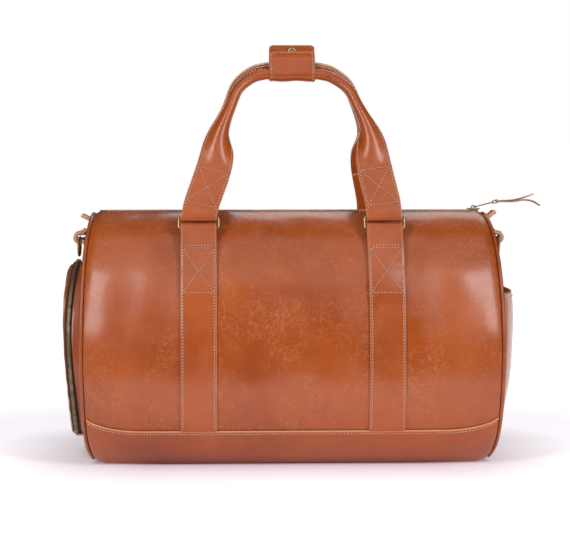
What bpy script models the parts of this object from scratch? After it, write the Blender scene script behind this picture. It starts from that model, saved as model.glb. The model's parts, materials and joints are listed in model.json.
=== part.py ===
"""Leather barrel travel bag, in metres, +Z up.

The bag rests on its base at the origin, its length runs along X and its front faces -Y.
Its zip runs along the top, a zipped shoe pocket is on the left end (-X), an open slip pocket is
on the right end, and two rolled handles stand on rectangular rings.
"""

import math

import bmesh
import bpy
import numpy as np
from mathutils import Matrix, Vector

# Leather, cloth and fits
LEATHER = 0.0022
STRAP_LAYER = 0.0030
LINING_CLOTH = 0.0010
TAPE_CLOTH = 0.0008
GAP = 0.0003
RUN_CLEAR = 0.0004
LAP_CLEAR = 0.0006
SEAM_LAP = 0.012

# Barrel body: section of two superellipses, cut flat at the base
HALF_LENGTH = 0.2335
HALF_DEPTH = 0.130
WIDEST_HEIGHT = 0.120
UPPER_RISE = 0.165
FLAT_CUT = 0.0175
UPPER_ROUNDNESS = 2.05
LOWER_ROUNDNESS = 2.6
CORNER_START_SHARE = 0.955
CORNER_DRAW_SHARE = 0.022
SIDE_START_SHARE = 0.76
SIDE_DRAW_SHARE = 0.036
RIM_PULL = 0.006
RIM_MIDDLE = 0.140
BASE_SEAM_HEIGHT = 0.042
BASE_TOP = LEATHER + LAP_CLEAR
LOWER_REACH = WIDEST_HEIGHT - BASE_TOP + FLAT_CUT
LENGTH_SHARES = (0.0, 0.40, SIDE_START_SHARE, 0.86, CORNER_START_SHARE, 0.975, 0.99, 1.0)
PANEL_ROWS = 12
BASE_CORNER_ROWS = 4
FLAT_INSET = 0.004
SECTION_STEPS = 2401
HALF_TURN_POINTS = 9

# Ends: piping in the seam and a slightly domed panel inside it
PIPING_RADIUS = 0.0022
PIPING_SINK = 0.0010
END_DOME = 0.003
RIM_CELLS = 8

# Lining and base board
LINING_OUT = -0.0045
LINING_CELLS = 7
LINING_LENGTH_SHARE = 0.965
SLOT_LENGTH_SHARE = 0.90
BOARD_THICKNESS = 0.003
BOARD_HALF_LENGTH = HALF_LENGTH - 0.0285
BOARD_HALF_WIDTH = HALF_DEPTH - 0.062
BOARD_CORNER = 0.020

# Main zip
ZIP_HALF_LENGTH = HALF_LENGTH - 0.012
ZIP_OPENING_HALF = 0.009
ZIP_TAPE_EDGE = 0.0235
ZIP_PITCH = 0.0075
ZIP_TOOTH_HEIGHT = 0.0026
ZIP_ROW_WIDTH = 0.0032
ZIP_TOOTH_REACH = 0.0010
ZIP_END_SHARE = 0.985
ZIP_END_TAB_START = HALF_LENGTH - 0.0067
ZIP_END_TAB_LENGTH = 0.0184
ZIP_END_TAB_WIDTH = 0.024
ZIP_END_TAB_LIFT_DEG = 1.0
TAB_NOSE_POINTS = 5

# Sliders and pulls, the same for both zips
SLIDER_LENGTH = 0.014
SLIDER_WALL = 0.0012
SLIDER_BASE_LENGTH = 0.010
SLIDER_BASE_WIDTH = 0.0042
SLIDER_CLEAR = 0.0005
BRIDGE_HOLE_LENGTH = 0.0034
BRIDGE_HOLE_HEIGHT = 0.0022
BRIDGE_BAND = 0.0012
BRIDGE_WIDTH = 0.0024
PULL_THICKNESS = 0.0012
PULL_WIDTH = 0.0056
PULL_LENGTH = 0.026
PULL_CORNER = PULL_WIDTH / 4
PULL_SLOT_LENGTH = 0.0052
PULL_REST_DEG = 14.0
MAIN_SLIDER_X = HALF_LENGTH - 0.0175
THONG_WIDTH = 0.0030
THONG_THICKNESS = 0.0016
THONG_TAIL = 0.049
THONG_SHORTER_SHARE = 0.8

# Sewn straps that carry the rings
STRAP_WIDTH = 0.040
STRAP_SPREAD_SHARE = 0.45
STRAP_SPREAD = STRAP_SPREAD_SHARE * HALF_LENGTH
STRAP_LIFT_HEIGHT = 0.224
STRAP_LIFT_LENGTH = 0.048
STRAP_DOUBLE_HEIGHT = 0.188

# Rings
RING_WIRE = 0.0030
RING_BARS_APART = 0.013
RING_INSIDE = 0.0425
RING_CORNER = 0.0028

# Handles
HANDLE_WIDTH = 0.040
HANDLE_TOP_WIDTH = 0.033
HANDLE_HEIGHT = 0.1762
HANDLE_SWAY = 0.0055
HANDLE_SWAY_SHARE = 0.8
BACK_HANDLE_EXTRA = 0.008
FRONT_ROLL_Y = 0.0090
BACK_ROLL_Y = 0.0068
HANDLE_LEG_START = 0.007
HANDLE_SEWN_LENGTH = 0.055
FOLD_START = 0.070
FOLD_END = 0.148
FLAP_LEAN_DEG = 28.0
FLAP_TURN_DEG = 52.0
HANDLE_STATIONS = 35
HANDLE_PATH_SHARES = (
    (1.000, 0.000),
    (0.972, 0.110),
    (0.876, 0.325),
    (0.805, 0.560),
    (0.665, 0.815),
    (0.580, 0.908),
    (0.440, 0.973),
    (0.335, 0.994),
    (0.255, 1.000),
    (0.120, 1.000),
)
CORE_CLEAR = 0.0004

# Handle wrap and its snap
WRAP_LENGTH = 0.053
WRAP_LEATHER = 0.0020
WRAP_CLEAR = 0.0004
WRAP_JOIN_HEIGHT = 0.0190
FLAP_TOP_HEIGHT = 0.0268
BACK_TOP_HEIGHT = 0.0343
FLAP_ARC_START_DEG = 140.0
FLAP_ARC_SWEEP_DEG = 160.0
BACK_ARC_START_DEG = 45.0
BACK_ARC_SWEEP_DEG = -160.0
WRAP_ARC_POINTS = 8
SNAP_RADIUS = 0.0048
SNAP_THICKNESS = 0.0015
SNAP_HEIGHT = 0.0262

# Shoe pocket on the left end: a drum with the zip round its side
POCKET_RADIUS = 0.1015
POCKET_MIDDLE = 0.1235
POCKET_ZIP_X = HALF_LENGTH + 0.0114
POCKET_TAPE_REACH = 0.0046
POCKET_TAPE_ROOT = 0.0066
POCKET_PITCH = 0.016
POCKET_TEETH = 34
POCKET_BULGE = 0.0108
POCKET_BULGE_LOW_POWER = 1.6
POCKET_BULGE_HIGH_POWER = 0.5
POCKET_BULGE_SIDE_POWER = 0.7
POCKET_BULGE_PEAK = 1.353
POCKET_CELLS = 8

# Slip pocket on the right end
SLIP_HALF_WIDTH = 0.096
SLIP_BOTTOM = 0.020
SLIP_TOP = 0.1935
SLIP_FOOT = 0.0012
SLIP_BULGE = 0.0150
SLIP_CELLS = 8
SLIP_CORNER_SHARE = 0.25
SLIP_CORNER_POWER = 4
SLIP_MOUTH_SHARE = 0.62
SLIP_FULLNESS_POWER = 0.8

# Strap rings at the ends
TAB_WIDTH = 0.028
D_WIRE = 0.0035
D_WIDTH = 0.036
D_DROP = 0.020
D_ROUNDNESS = 0.8
D_STEPS = 12
D_BAR_OUT = 0.0095
D_BAR_HEIGHT = 0.2525
TAB_BOTTOM = D_BAR_HEIGHT - 0.0070
TAB_TOP = D_BAR_HEIGHT + 0.0108

# Colour, roughness and metallic value of each kind of material
LEATHER_LOOK = ((0.47, 0.125, 0.038), 0.38, 0.0)
PIPING_LOOK = ((0.36, 0.085, 0.028), 0.42, 0.0)
LINING_LOOK = ((0.30, 0.22, 0.15), 0.90, 0.0)
BOARD_LOOK = ((0.10, 0.08, 0.06), 0.80, 0.0)
TAPE_LOOK = ((0.055, 0.030, 0.024), 0.85, 0.0)
BRASS_LOOK = ((0.42, 0.30, 0.14), 0.35, 1.0)
ROPE_LOOK = ((0.62, 0.55, 0.42), 0.95, 0.0)

BODY_MIDDLE = Vector((0.0, 0.0, RIM_MIDDLE))
UP = Vector((0.0, 0.0, 1.0))
ALONG = Vector((1.0, 0.0, 0.0))


def new_collection(name):
    """A collection linked to the scene."""
    collection = bpy.data.collections.new(name)
    bpy.context.scene.collection.children.link(collection)
    return collection


def material(name, look):
    """A Principled material of a colour, roughness and metallic value."""
    colour, roughness, metallic = look
    made = bpy.data.materials.new(name)
    made.use_nodes = True
    shader = made.node_tree.nodes["Principled BSDF"]
    shader.inputs["Base Color"].default_value = (*colour, 1.0)
    shader.inputs["Roughness"].default_value = roughness
    shader.inputs["Metallic"].default_value = metallic
    return made


def add_object(name, data, look, collection=None):
    """A named object with its own material, in the bag's collection unless another is given."""
    made = bpy.data.objects.new(name, data)
    data.materials.append(material(name, look))
    (collection or BAG).objects.link(made)
    return made


def as_cutter(made):
    """Marks a helper shape, such as what a Boolean joins or cuts."""
    made.hide_render = True
    made.display_type = "WIRE"
    return made


def set_origin(made, point):
    """Moves an unturned object's origin to a world point and leaves its shape in place."""
    shift = Vector(point) - made.location
    made.data.transform(Matrix.Translation(-shift))
    made.location = Vector(point)


def smooth(made, degrees=40.0):
    """Smooth shading with sharp edges kept."""
    made.data.shade_smooth()
    made.data.set_sharp_from_angle(angle=math.radians(degrees))


def face_outward(mesh):
    """Turns an open sheet's faces away from the middle of the bag."""
    mesh.normal_update()
    flow = sum(f.normal.dot(f.calc_center_median() - BODY_MIDDLE) * f.calc_area() for f in mesh.faces)
    if flow < 0:
        bmesh.ops.reverse_faces(mesh, faces=mesh.faces)


def thicken(name, mesh, thickness, look):
    """An object from an open sheet, thickened toward the bag's middle."""
    face_outward(mesh)
    data = bpy.data.meshes.new(name)
    mesh.to_mesh(data)
    mesh.free()
    made = add_object(name, data, look)
    smooth(made)
    shell = made.modifiers.new("thickness", "SOLIDIFY")
    shell.thickness = thickness
    shell.offset = -1
    shell.use_even_offset = True
    return made


def sheet(name, columns, rows, place, thickness, look, drop=None):
    """A grid bent into shape by place(a, b), both from 0 to 1, and thickened inward."""
    mesh = bmesh.new()
    bmesh.ops.create_grid(mesh, x_segments=columns, y_segments=rows, size=0.5)
    for vertex in mesh.verts:
        vertex.co += Vector((0.5, 0.5, 0.0))
    if drop:
        middles = {f: f.calc_center_median() for f in mesh.faces}
        gone = [f for f, middle in middles.items() if drop(middle.x, middle.y)]
        bmesh.ops.delete(mesh, geom=gone, context="FACES")
    for vertex in mesh.verts:
        vertex.co = place(vertex.co.x, vertex.co.y)
    return thicken(name, mesh, thickness, look)


def plate(name, outlines, thickness, frame, look, collection=None):
    """A flat outline, with any holes after it, thickened evenly about the frame's XY plane."""
    curve = bpy.data.curves.new(name, "CURVE")
    curve.dimensions = "2D"
    curve.fill_mode = "BOTH"
    curve.extrude = thickness / 2
    for outline in outlines:
        spline = curve.splines.new("POLY")
        spline.points.add(len(outline) - 1)
        for point, (x, y) in zip(spline.points, outline):
            point.co = (x, y, 0.0, 1.0)
        spline.use_cyclic_u = True
    made = add_object(name, curve, look, collection)
    made.matrix_world = frame
    return made


def tube(name, points, radius, look, closed=False, resolution=1):
    """A round bar along points."""
    curve = bpy.data.curves.new(name, "CURVE")
    curve.dimensions = "3D"
    curve.bevel_depth = radius
    curve.bevel_resolution = resolution
    curve.use_fill_caps = True
    spline = curve.splines.new("POLY")
    spline.points.add(len(points) - 1)
    for point, place in zip(spline.points, points):
        point.co = (*place, 1.0)
    spline.use_cyclic_u = closed
    return add_object(name, curve, look)


def as_mesh(made):
    """The same object as a mesh with its caps welded, for a Boolean."""
    bpy.context.view_layer.update()
    evaluated = made.evaluated_get(bpy.context.evaluated_depsgraph_get())
    data = bpy.data.meshes.new_from_object(evaluated)
    mesh = bmesh.new()
    mesh.from_mesh(data)
    bmesh.ops.remove_doubles(mesh, verts=mesh.verts, dist=1e-5)
    mesh.to_mesh(data)
    mesh.free()
    meshed = bpy.data.objects.new(made.name, data)
    made.users_collection[0].objects.link(meshed)
    meshed.matrix_world = made.matrix_world
    name = made.name
    bpy.data.objects.remove(made)
    meshed.name = name
    return meshed


def join(made, others):
    """Joins other closed shapes to a mesh object with Boolean unions."""
    for other in others:
        union = made.modifiers.new("join " + other.name, "BOOLEAN")
        union.operation = "UNION"
        union.object = as_cutter(other)


def turned(across, up, point):
    """A frame whose local x and y run along two directions."""
    across, up = Vector(across).normalized(), Vector(up).normalized()
    out = across.cross(up)
    frame = Matrix((across, up, out)).transposed().to_4x4()
    frame.translation = Vector(point)
    return frame


def circle(middle, radius, count=12, start=0.0, sweep=2 * math.pi, closed=True):
    """Points on a circle or, when not closed, on an arc with both ends."""
    steps = count if closed else count - 1
    turns = [start + sweep * n / steps for n in range(count)]
    return [(middle[0] + radius * math.cos(t), middle[1] + radius * math.sin(t)) for t in turns]


def rounded_box(width, height, corner, steps=4):
    """A rectangle about the origin with round corners."""
    points = []
    for n, (x, y) in enumerate(((1, 1), (-1, 1), (-1, -1), (1, -1))):
        middle = (x * (width / 2 - corner), y * (height / 2 - corner))
        points += circle(middle, corner, steps, n * math.pi / 2, math.pi / 2, closed=False)
    return points


def band(line, thickness):
    """The outline of a strip of leather that follows a line."""
    line = np.array(line)
    runs = np.gradient(line, axis=0)
    runs /= np.linalg.norm(runs, axis=1)[:, None]
    side = np.column_stack((-runs[:, 1], runs[:, 0])) * thickness / 2
    return [tuple(p) for p in (*(line + side), *(line - side)[::-1])]


def half_section():
    """The body's outline from the zip line down one side to the middle of the base.

    Returns distances along it, and at each the place (out from the middle, up) and the outward
    direction."""
    turn = np.linspace(math.pi / 2, -math.pi / 2, SECTION_STEPS)
    upper = turn >= 0
    power = 2 / np.where(upper, UPPER_ROUNDNESS, LOWER_ROUNDNESS)
    rise = np.where(upper, UPPER_RISE, LOWER_REACH)
    out = HALF_DEPTH * np.abs(np.cos(turn)) ** power
    up = WIDEST_HEIGHT + rise * np.sign(turn) * np.abs(np.sin(turn)) ** power
    place = np.column_stack((out, np.maximum(up, BASE_TOP)))
    step = np.linalg.norm(np.diff(place, axis=0), axis=1)
    distance = np.concatenate(([0.0], np.cumsum(step)))
    kept = np.concatenate(([True], step > 0))
    distance, place = distance[kept], place[kept]
    run = np.gradient(place, distance, axis=0)
    run /= np.linalg.norm(run, axis=1)[:, None]
    return distance, place, np.column_stack((-run[:, 1], run[:, 0]))


DISTANCE, PLACE, OUTWARD = half_section()
HALF_ROUND = DISTANCE[-1]
FLAT_START = DISTANCE[np.argmax(PLACE[:, 1] <= BASE_TOP)]


def distance_down_to(height):
    """How far from the zip line the section comes down to a height."""
    return float(np.interp(-height, -PLACE[:, 1], DISTANCE))


def section_at(around):
    """Place and outward direction (y, z) at a distance from the zip line, down the front if
    positive and down the back if negative, past the base's middle if it goes that far."""
    side, reach = (-1, around) if around >= 0 else (1, -around)
    if reach > HALF_ROUND:
        side, reach = -side, 2 * HALF_ROUND - reach
    y, z, out_y, out_z = (
        float(np.interp(reach, DISTANCE, values)) for values in (*PLACE.T, *OUTWARD.T)
    )
    return Vector((side * y, z)), Vector((side * out_y, out_z))


def drawn_in(along, start, share):
    """What is left of a width or height near the ends, where the seams pull the body in."""
    past = max(0.0, (abs(along) - start) / (1 - start))
    return 1 - share * past**2


def rim_x(height):
    """How far from the middle the end seam is at a height."""
    return HALF_LENGTH - RIM_PULL * ((height - RIM_MIDDLE) / RIM_MIDDLE) ** 2


def body_point(along, around, out):
    """A point of the body: along from -1 to 1, around as in section_at, out from the front and
    back panels' outer face."""
    place, outward = section_at(around)
    place = place + out * outward
    y = place.x * drawn_in(along, SIDE_START_SHARE, SIDE_DRAW_SHARE)
    scale = drawn_in(along, CORNER_START_SHARE, CORNER_DRAW_SHARE)
    z = WIDEST_HEIGHT + (place.y - WIDEST_HEIGHT) * scale
    return Vector((along * rim_x(z), y, z))


def length_share(share):
    """Spreads a grid's columns so that most lie near the rounded ends."""
    half = np.interp(abs(2 * share - 1), np.linspace(0, 1, len(LENGTH_SHARES)), LENGTH_SHARES)
    return float(math.copysign(half, 2 * share - 1))


def body_sheet(name, arounds, out, thickness, look, end_share=1.0):
    """A panel of the body over its whole length, with a row at each distance in arounds."""
    steps = np.linspace(0, 1, len(arounds))

    def place(a, b):
        return body_point(end_share * length_share(a), float(np.interp(b, steps, arounds)), out)

    return sheet(name, 2 * len(LENGTH_SHARES) - 2, len(arounds) - 1, place, thickness, look)


SEAM = distance_down_to(BASE_SEAM_HEIGHT)
PANEL_STATIONS = [ZIP_OPENING_HALF, *np.linspace(ZIP_TAPE_EDGE, SEAM, PANEL_ROWS), SEAM + SEAM_LAP]


def build_panels():
    """Front and back panels, and the base panel lapped over their lower edges."""
    body_sheet("front_panel", PANEL_STATIONS, 0.0, LEATHER, LEATHER_LOOK)
    body_sheet("back_panel", [-s for s in PANEL_STATIONS], 0.0, LEATHER, LEATHER_LOOK)
    corner = np.linspace(SEAM + SEAM_LAP, FLAT_START, BASE_CORNER_ROWS)
    front = [SEAM, *corner, FLAT_START + FLAT_INSET]
    whole = front + [2 * HALF_ROUND - s for s in reversed(front)]
    body_sheet("base_panel", whole, BASE_TOP, LEATHER, LEATHER_LOOK)


def end_face_x(y, height):
    """How far from the middle an end panel's outer face is."""
    across = (y / (HALF_DEPTH * (1 - SIDE_DRAW_SHARE))) ** 2
    up = ((height - RIM_MIDDLE) / (UPPER_RISE + WIDEST_HEIGHT - RIM_MIDDLE)) ** 2
    dome = END_DOME * max(0.0, 1 - across - up)
    return rim_x(height) + GAP + PIPING_RADIUS + LEATHER / 2 + dome


def on_disc(a, b):
    """A square grid's point as a share of the way out and a turn from the top."""
    x, y = 2 * a - 1, 2 * b - 1
    return max(abs(x), abs(y)), math.atan2(x, y)


def rim_turns():
    """The turns at which an end panel's edge has its points."""
    shares = [n / RIM_CELLS for n in range(RIM_CELLS + 1)]
    edge = [(s, e) for s in shares for e in (0, 1)] + [(e, s) for s in shares for e in (0, 1)]
    return sorted({round(on_disc(a, b)[1] % (2 * math.pi), 6) for a, b in edge})


def build_ends():
    """An end panel inside a ring of piping at each end."""
    for name, side in (("left", -1), ("right", 1)):
        edge_out = -PIPING_SINK - PIPING_RADIUS - GAP

        def place(a, b):
            out, turn = on_disc(a, b)
            edge = body_point(1.0, turn / math.pi * HALF_ROUND, edge_out)
            y, z = out * edge.y, RIM_MIDDLE + out * (edge.z - RIM_MIDDLE)
            return Vector((side * end_face_x(y, z), y, z))

        sheet(name + "_end_panel", RIM_CELLS, RIM_CELLS, place, LEATHER, LEATHER_LOOK)
        cord = []
        for turn in rim_turns():
            point = body_point(1.0, turn / math.pi * HALF_ROUND, -PIPING_SINK)
            cord.append((side * (point.x + GAP + PIPING_RADIUS), point.y, point.z))
        piping = name + "_end_piping"
        tube(piping, cord, PIPING_RADIUS, PIPING_LOOK, closed=True, resolution=0)


def build_lining():
    """The cloth lining, open under the zip, and the stiff board below it."""
    mesh = bmesh.new()
    bmesh.ops.create_cube(mesh, size=2.0)
    bmesh.ops.subdivide_edges(mesh, edges=mesh.edges, cuts=LINING_CELLS - 1, use_grid_fill=True)
    middles = {f: f.calc_center_median() for f in mesh.faces}
    cell = 1 / LINING_CELLS
    gone = [
        f for f, m in middles.items()
        if m.z > 1 - cell / 2 and abs(m.y) < cell and abs(m.x) < SLOT_LENGTH_SHARE
    ]
    bmesh.ops.delete(mesh, geom=gone, context="FACES")
    for vertex in mesh.verts:
        along, across, up = vertex.co
        out = max(abs(across), abs(up))
        turn = math.atan2(-across, up) if out else 0.0
        edge = body_point(LINING_LENGTH_SHARE * along, turn / math.pi * HALF_ROUND, LINING_OUT)
        y, z = out * edge.y, RIM_MIDDLE + out * (edge.z - RIM_MIDDLE)
        vertex.co = Vector((edge.x, y, z))
    thicken("lining", mesh, LINING_CLOTH, LINING_LOOK)
    outline = rounded_box(2 * BOARD_HALF_LENGTH, 2 * BOARD_HALF_WIDTH, BOARD_CORNER)
    middle = (0.0, 0.0, BASE_TOP + GAP + BOARD_THICKNESS / 2)
    plate("base_board", [outline], BOARD_THICKNESS, Matrix.Translation(middle), BOARD_LOOK)


ZIP_TOP = WIDEST_HEIGHT + UPPER_RISE
TAPE_OUT = -LEATHER - 2 * GAP
ROW_BOTTOM = ZIP_TOP + TAPE_OUT + GAP
ROW_INNER = ZIP_TOOTH_REACH + GAP
ROW_OUTER = ROW_INNER + ZIP_ROW_WIDTH


def comb_outline(side):
    """One row of zip teeth seen from above: a strip with teeth that reach past the middle."""
    width = ZIP_PITCH / 2 - GAP
    count = int(2 * ZIP_HALF_LENGTH / ZIP_PITCH) - 1
    first = -count * ZIP_PITCH / 2 + (ZIP_PITCH / 2 if side > 0 else 0.0)
    points = [(ZIP_HALF_LENGTH, side * ROW_OUTER), (-ZIP_HALF_LENGTH, side * ROW_OUTER)]
    points.append((-ZIP_HALF_LENGTH, side * ROW_INNER))
    for n in range(count):
        left = first + n * ZIP_PITCH
        points.append((left, side * ROW_INNER))
        points.append((left, -side * ZIP_TOOTH_REACH))
        points.append((left + width, -side * ZIP_TOOTH_REACH))
        points.append((left + width, side * ROW_INNER))
    points.append((ZIP_HALF_LENGTH, side * ROW_INNER))
    return points


def build_main_zip():
    """Two tapes, two interlocked rows of teeth and a folded leather tab over each end."""
    middle = (0.0, 0.0, ROW_BOTTOM + ZIP_TOOTH_HEIGHT / 2)
    inner = ROW_INNER + ZIP_ROW_WIDTH / 2
    for name, side in (("front", -1), ("back", 1)):
        arounds = [-side * s for s in (inner, ZIP_OPENING_HALF, ZIP_TAPE_EDGE)]
        body_sheet(
            "main_zip_tape_" + name, arounds, TAPE_OUT, TAPE_CLOTH, TAPE_LOOK, ZIP_END_SHARE
        )
        frame = Matrix.Translation(middle)
        teeth = "main_zip_teeth_" + name
        plate(teeth, [comb_outline(side)], ZIP_TOOTH_HEIGHT, frame, BRASS_LOOK)
    rise = math.tan(math.radians(ZIP_END_TAB_LIFT_DEG)) * ZIP_END_TAB_LENGTH
    thick = 2 * LEATHER
    foot = body_point(ZIP_END_TAB_START / HALF_LENGTH, ZIP_OPENING_HALF, GAP).z
    radius = thick / 2
    for name, side in (("left", -1), ("right", 1)):
        root = side * ZIP_END_TAB_START
        tip = side * (ZIP_END_TAB_START + ZIP_END_TAB_LENGTH - radius)
        middle = (tip, foot + rise + radius)
        nose = circle(middle, radius, TAB_NOSE_POINTS, -math.pi / 2, side * math.pi, False)
        outline = [(root, foot), *nose, (root, foot + thick)]
        frame = turned(ALONG, UP, (0.0, 0.0, 0.0))
        plate("zip_end_tab_" + name, [outline], ZIP_END_TAB_WIDTH, frame, LEATHER_LOOK)


def build_slider(name, frame, row_height):
    """A zip slider: a channel over the teeth, a plate under the tapes and a bridge for the pull.

    The frame's x runs along the zip and its z points away from the bag, from the tapes' top."""
    wing = ROW_OUTER + SLIDER_CLEAR
    roof = row_height + SLIDER_CLEAR
    skirt = SLIDER_CLEAR
    outer = wing + SLIDER_WALL
    top = roof + SLIDER_WALL
    channel = [(-outer, skirt), (-wing, skirt), (-wing, roof), (wing, roof), (wing, skirt)]
    channel += [(outer, skirt), (outer, top), (-outer, top)]
    across = frame @ turned((0, 1, 0), UP, (0, 0, 0))
    body = as_mesh(plate(name, [channel], SLIDER_LENGTH, across, BRASS_LOOK))
    inside = BRIDGE_HOLE_LENGTH / 2
    half = inside + BRIDGE_BAND
    crown = top + BRIDGE_HOLE_HEIGHT + BRIDGE_BAND
    shoulder = crown - BRIDGE_BAND / 2
    roof_line = crown - BRIDGE_BAND
    low = top - SLIDER_WALL / 2
    arch = [(inside, low), (half, low), (half, shoulder), (inside, crown), (-inside, crown)]
    arch += [(-half, shoulder), (-half, low), (-inside, low), (-inside, roof_line)]
    arch.append((inside, roof_line))
    lengthwise = frame @ turned(ALONG, UP, (0, 0, 0))
    bridge = plate(name + "_bridge", [arch], BRIDGE_WIDTH, lengthwise, BRASS_LOOK, HELPERS)
    under = -TAPE_CLOTH - SLIDER_CLEAR - SLIDER_WALL / 2
    flat = frame @ Matrix.Translation((0.0, 0.0, under))
    outline = rounded_box(SLIDER_BASE_LENGTH, SLIDER_BASE_WIDTH, SLIDER_WALL, 3)
    plate(name + "_base", [outline], SLIDER_WALL, flat, BRASS_LOOK)
    join(body, [as_mesh(bridge)])
    return frame @ Vector((0.0, 0.0, top + BRIDGE_HOLE_HEIGHT / 2))


def build_pull(name, frame):
    """A flat pull bar whose near end is a bar through the slider's bridge.

    The frame's origin is the pivot and its x runs along the pull."""
    back = -PULL_THICKNESS / 2
    shift = (PULL_LENGTH / 2 + back, 0.0)
    bar = [(x + shift[0], y) for x, y in rounded_box(PULL_LENGTH, PULL_WIDTH, PULL_CORNER, 3)]
    slot_width = PULL_WIDTH - 2 * PULL_THICKNESS
    near = PULL_SLOT_LENGTH / 2 + PULL_THICKNESS / 2
    slot = [(x + near, y) for x, y in rounded_box(PULL_SLOT_LENGTH, slot_width, GAP, 2)]
    far = PULL_LENGTH + back - PULL_THICKNESS - THONG_THICKNESS - RUN_CLEAR
    hole_length = 2 * (THONG_THICKNESS + RUN_CLEAR)
    hole = [(x + far, y) for x, y in rounded_box(hole_length, slot_width, GAP, 2)]
    plate(name, [bar, slot, hole], PULL_THICKNESS, frame, BRASS_LOOK)
    return PULL_LENGTH + back - PULL_THICKNESS / 2


def build_main_slider():
    """The main slider at the closed end, its pull bar and the leather thong through the bar."""
    seat = (MAIN_SLIDER_X, 0.0, ZIP_TOP + TAPE_OUT)
    pivot = build_slider(
        "main_zip_slider", Matrix.Translation(seat), GAP + ZIP_TOOTH_HEIGHT
    )
    lift = Matrix.Rotation(-math.radians(PULL_REST_DEG), 4, "Y")
    end = build_pull("main_zip_pull", Matrix.Translation(pivot) @ lift)
    inner = PULL_THICKNESS / 2 + RUN_CLEAR
    outer = inner + THONG_THICKNESS
    eye_end = outer + THONG_THICKNESS
    loop = circle((0.0, 0.0), outer, HALF_TURN_POINTS, math.pi / 2, math.pi, False)
    lower_tip = (eye_end + THONG_TAIL, -outer)
    upper_tip = (eye_end + THONG_SHORTER_SHARE * THONG_TAIL, outer + 2 * THONG_THICKNESS)
    fork = (eye_end + THONG_THICKNESS, 0.0)
    tails = [(eye_end, -outer), lower_tip, (lower_tip[0], lower_tip[1] + THONG_THICKNESS)]
    tails += [fork, (upper_tip[0], upper_tip[1]), (upper_tip[0], upper_tip[1] + THONG_THICKNESS)]
    tails.append((eye_end, outer))
    eye = rounded_box(2 * inner, 2 * inner, inner / 2, 2)
    frame = Matrix.Translation(pivot) @ lift @ Matrix.Translation((end, 0.0, 0.0))
    frame = frame @ turned(ALONG, UP, (0, 0, 0))
    plate("main_zip_thong", [loop + tails, eye], THONG_WIDTH, frame, LEATHER_LOOK)


def strap_parts():
    """Where a front strap leaves the body, and the ring bar's middle, as (y, z)."""
    lift_at = distance_down_to(STRAP_LIFT_HEIGHT)
    place, outward = section_at(lift_at)
    upward = Vector((-outward.y, outward.x))
    upward = upward if upward.y > 0 else -upward
    bar = place + STRAP_LIFT_LENGTH * upward + (GAP + STRAP_LAYER) * outward
    return lift_at, upward, outward, bar


def strap_outline():
    """A front strap from the side: sewn on from the base seam up, then off the body to a loop
    round the ring's bar, with the end folded down behind it."""
    lift_at, upward, outward, bar = strap_parts()
    double_at = distance_down_to(STRAP_DOUBLE_HEIGHT)
    sewn = [s for s in PANEL_STATIONS if lift_at + STRAP_LAYER < s < SEAM - STRAP_LAYER]
    sewn = [lift_at, *sewn, SEAM - GAP]

    def off(around, out):
        place, outward_there = section_at(around)
        return tuple(place + out * outward_there)

    radius = RING_WIRE / 2 + RUN_CLEAR + STRAP_LAYER
    start = math.atan2(-outward.y, -outward.x)
    loop = circle(tuple(bar), radius, HALF_TURN_POINTS, start, math.pi, closed=False)
    inside = [off(s, GAP) for s in reversed(sewn)]
    outside = []
    for s in sewn:
        layers = 2 if s < double_at else 1
        outside.append(off(s, GAP + layers * STRAP_LAYER))
    return inside + loop + outside


def build_straps_and_rings():
    """Two straps on the front and two on the back, each with its ring."""
    _, _, _, bar = strap_parts()
    eye = circle(tuple(bar), RING_WIRE / 2 + RUN_CLEAR)
    outlines = [strap_outline(), eye]
    width = RING_INSIDE + RING_WIRE
    wire = rounded_box(width, RING_BARS_APART, RING_CORNER)
    for face, depth, lean in (("front", 1, handle_lean(1)), ("back", -1, handle_lean(-1))):
        for name, side in (("left", -1), ("right", 1)):
            middle = side * STRAP_SPREAD
            frame = turned((0, depth, 0), UP, (middle, 0.0, 0.0))
            plate(f"{face}_strap_{name}", outlines, STRAP_WIDTH, frame, LEATHER_LOOK)
            upward = Vector((0.0, depth * math.sin(lean), math.cos(lean)))
            frame = turned(ALONG, upward, (middle, depth * bar.x, bar.y))
            points = [(x, y + RING_BARS_APART / 2, 0.0) for x, y in wire]
            ring = tube(f"{face}_ring_{name}", points, RING_WIRE / 2, BRASS_LOOK, closed=True)
            ring.matrix_world = frame


def handle_height(depth):
    """A handle's height above its rings: depth is 1 for the front handle and -1 for the back."""
    return HANDLE_HEIGHT + (BACK_HANDLE_EXTRA if depth < 0 else 0.0)


def handle_lean(depth):
    """How far a handle leans toward the bag's middle, so that the two rest together."""
    _, _, _, bar = strap_parts()
    roll_y = FRONT_ROLL_Y if depth > 0 else BACK_ROLL_Y
    return math.asin((-bar.x - roll_y) / (RING_BARS_APART + handle_height(depth)))


def handle_frame(depth):
    """Pivot on the upper ring bars, and the handle plane's upward and facing directions."""
    _, _, _, bar = strap_parts()
    lean = handle_lean(depth)
    upward = Vector((0.0, depth * math.sin(lean), math.cos(lean)))
    facing = Vector((0.0, -depth * math.cos(lean), math.sin(lean)))
    pivot = Vector((0.0, depth * bar.x, bar.y)) + RING_BARS_APART * upward
    return pivot, upward, facing


def spaced(start, stop, count):
    """Evenly spaced plain numbers, both ends included."""
    return [float(value) for value in np.linspace(start, stop, count)]


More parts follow.
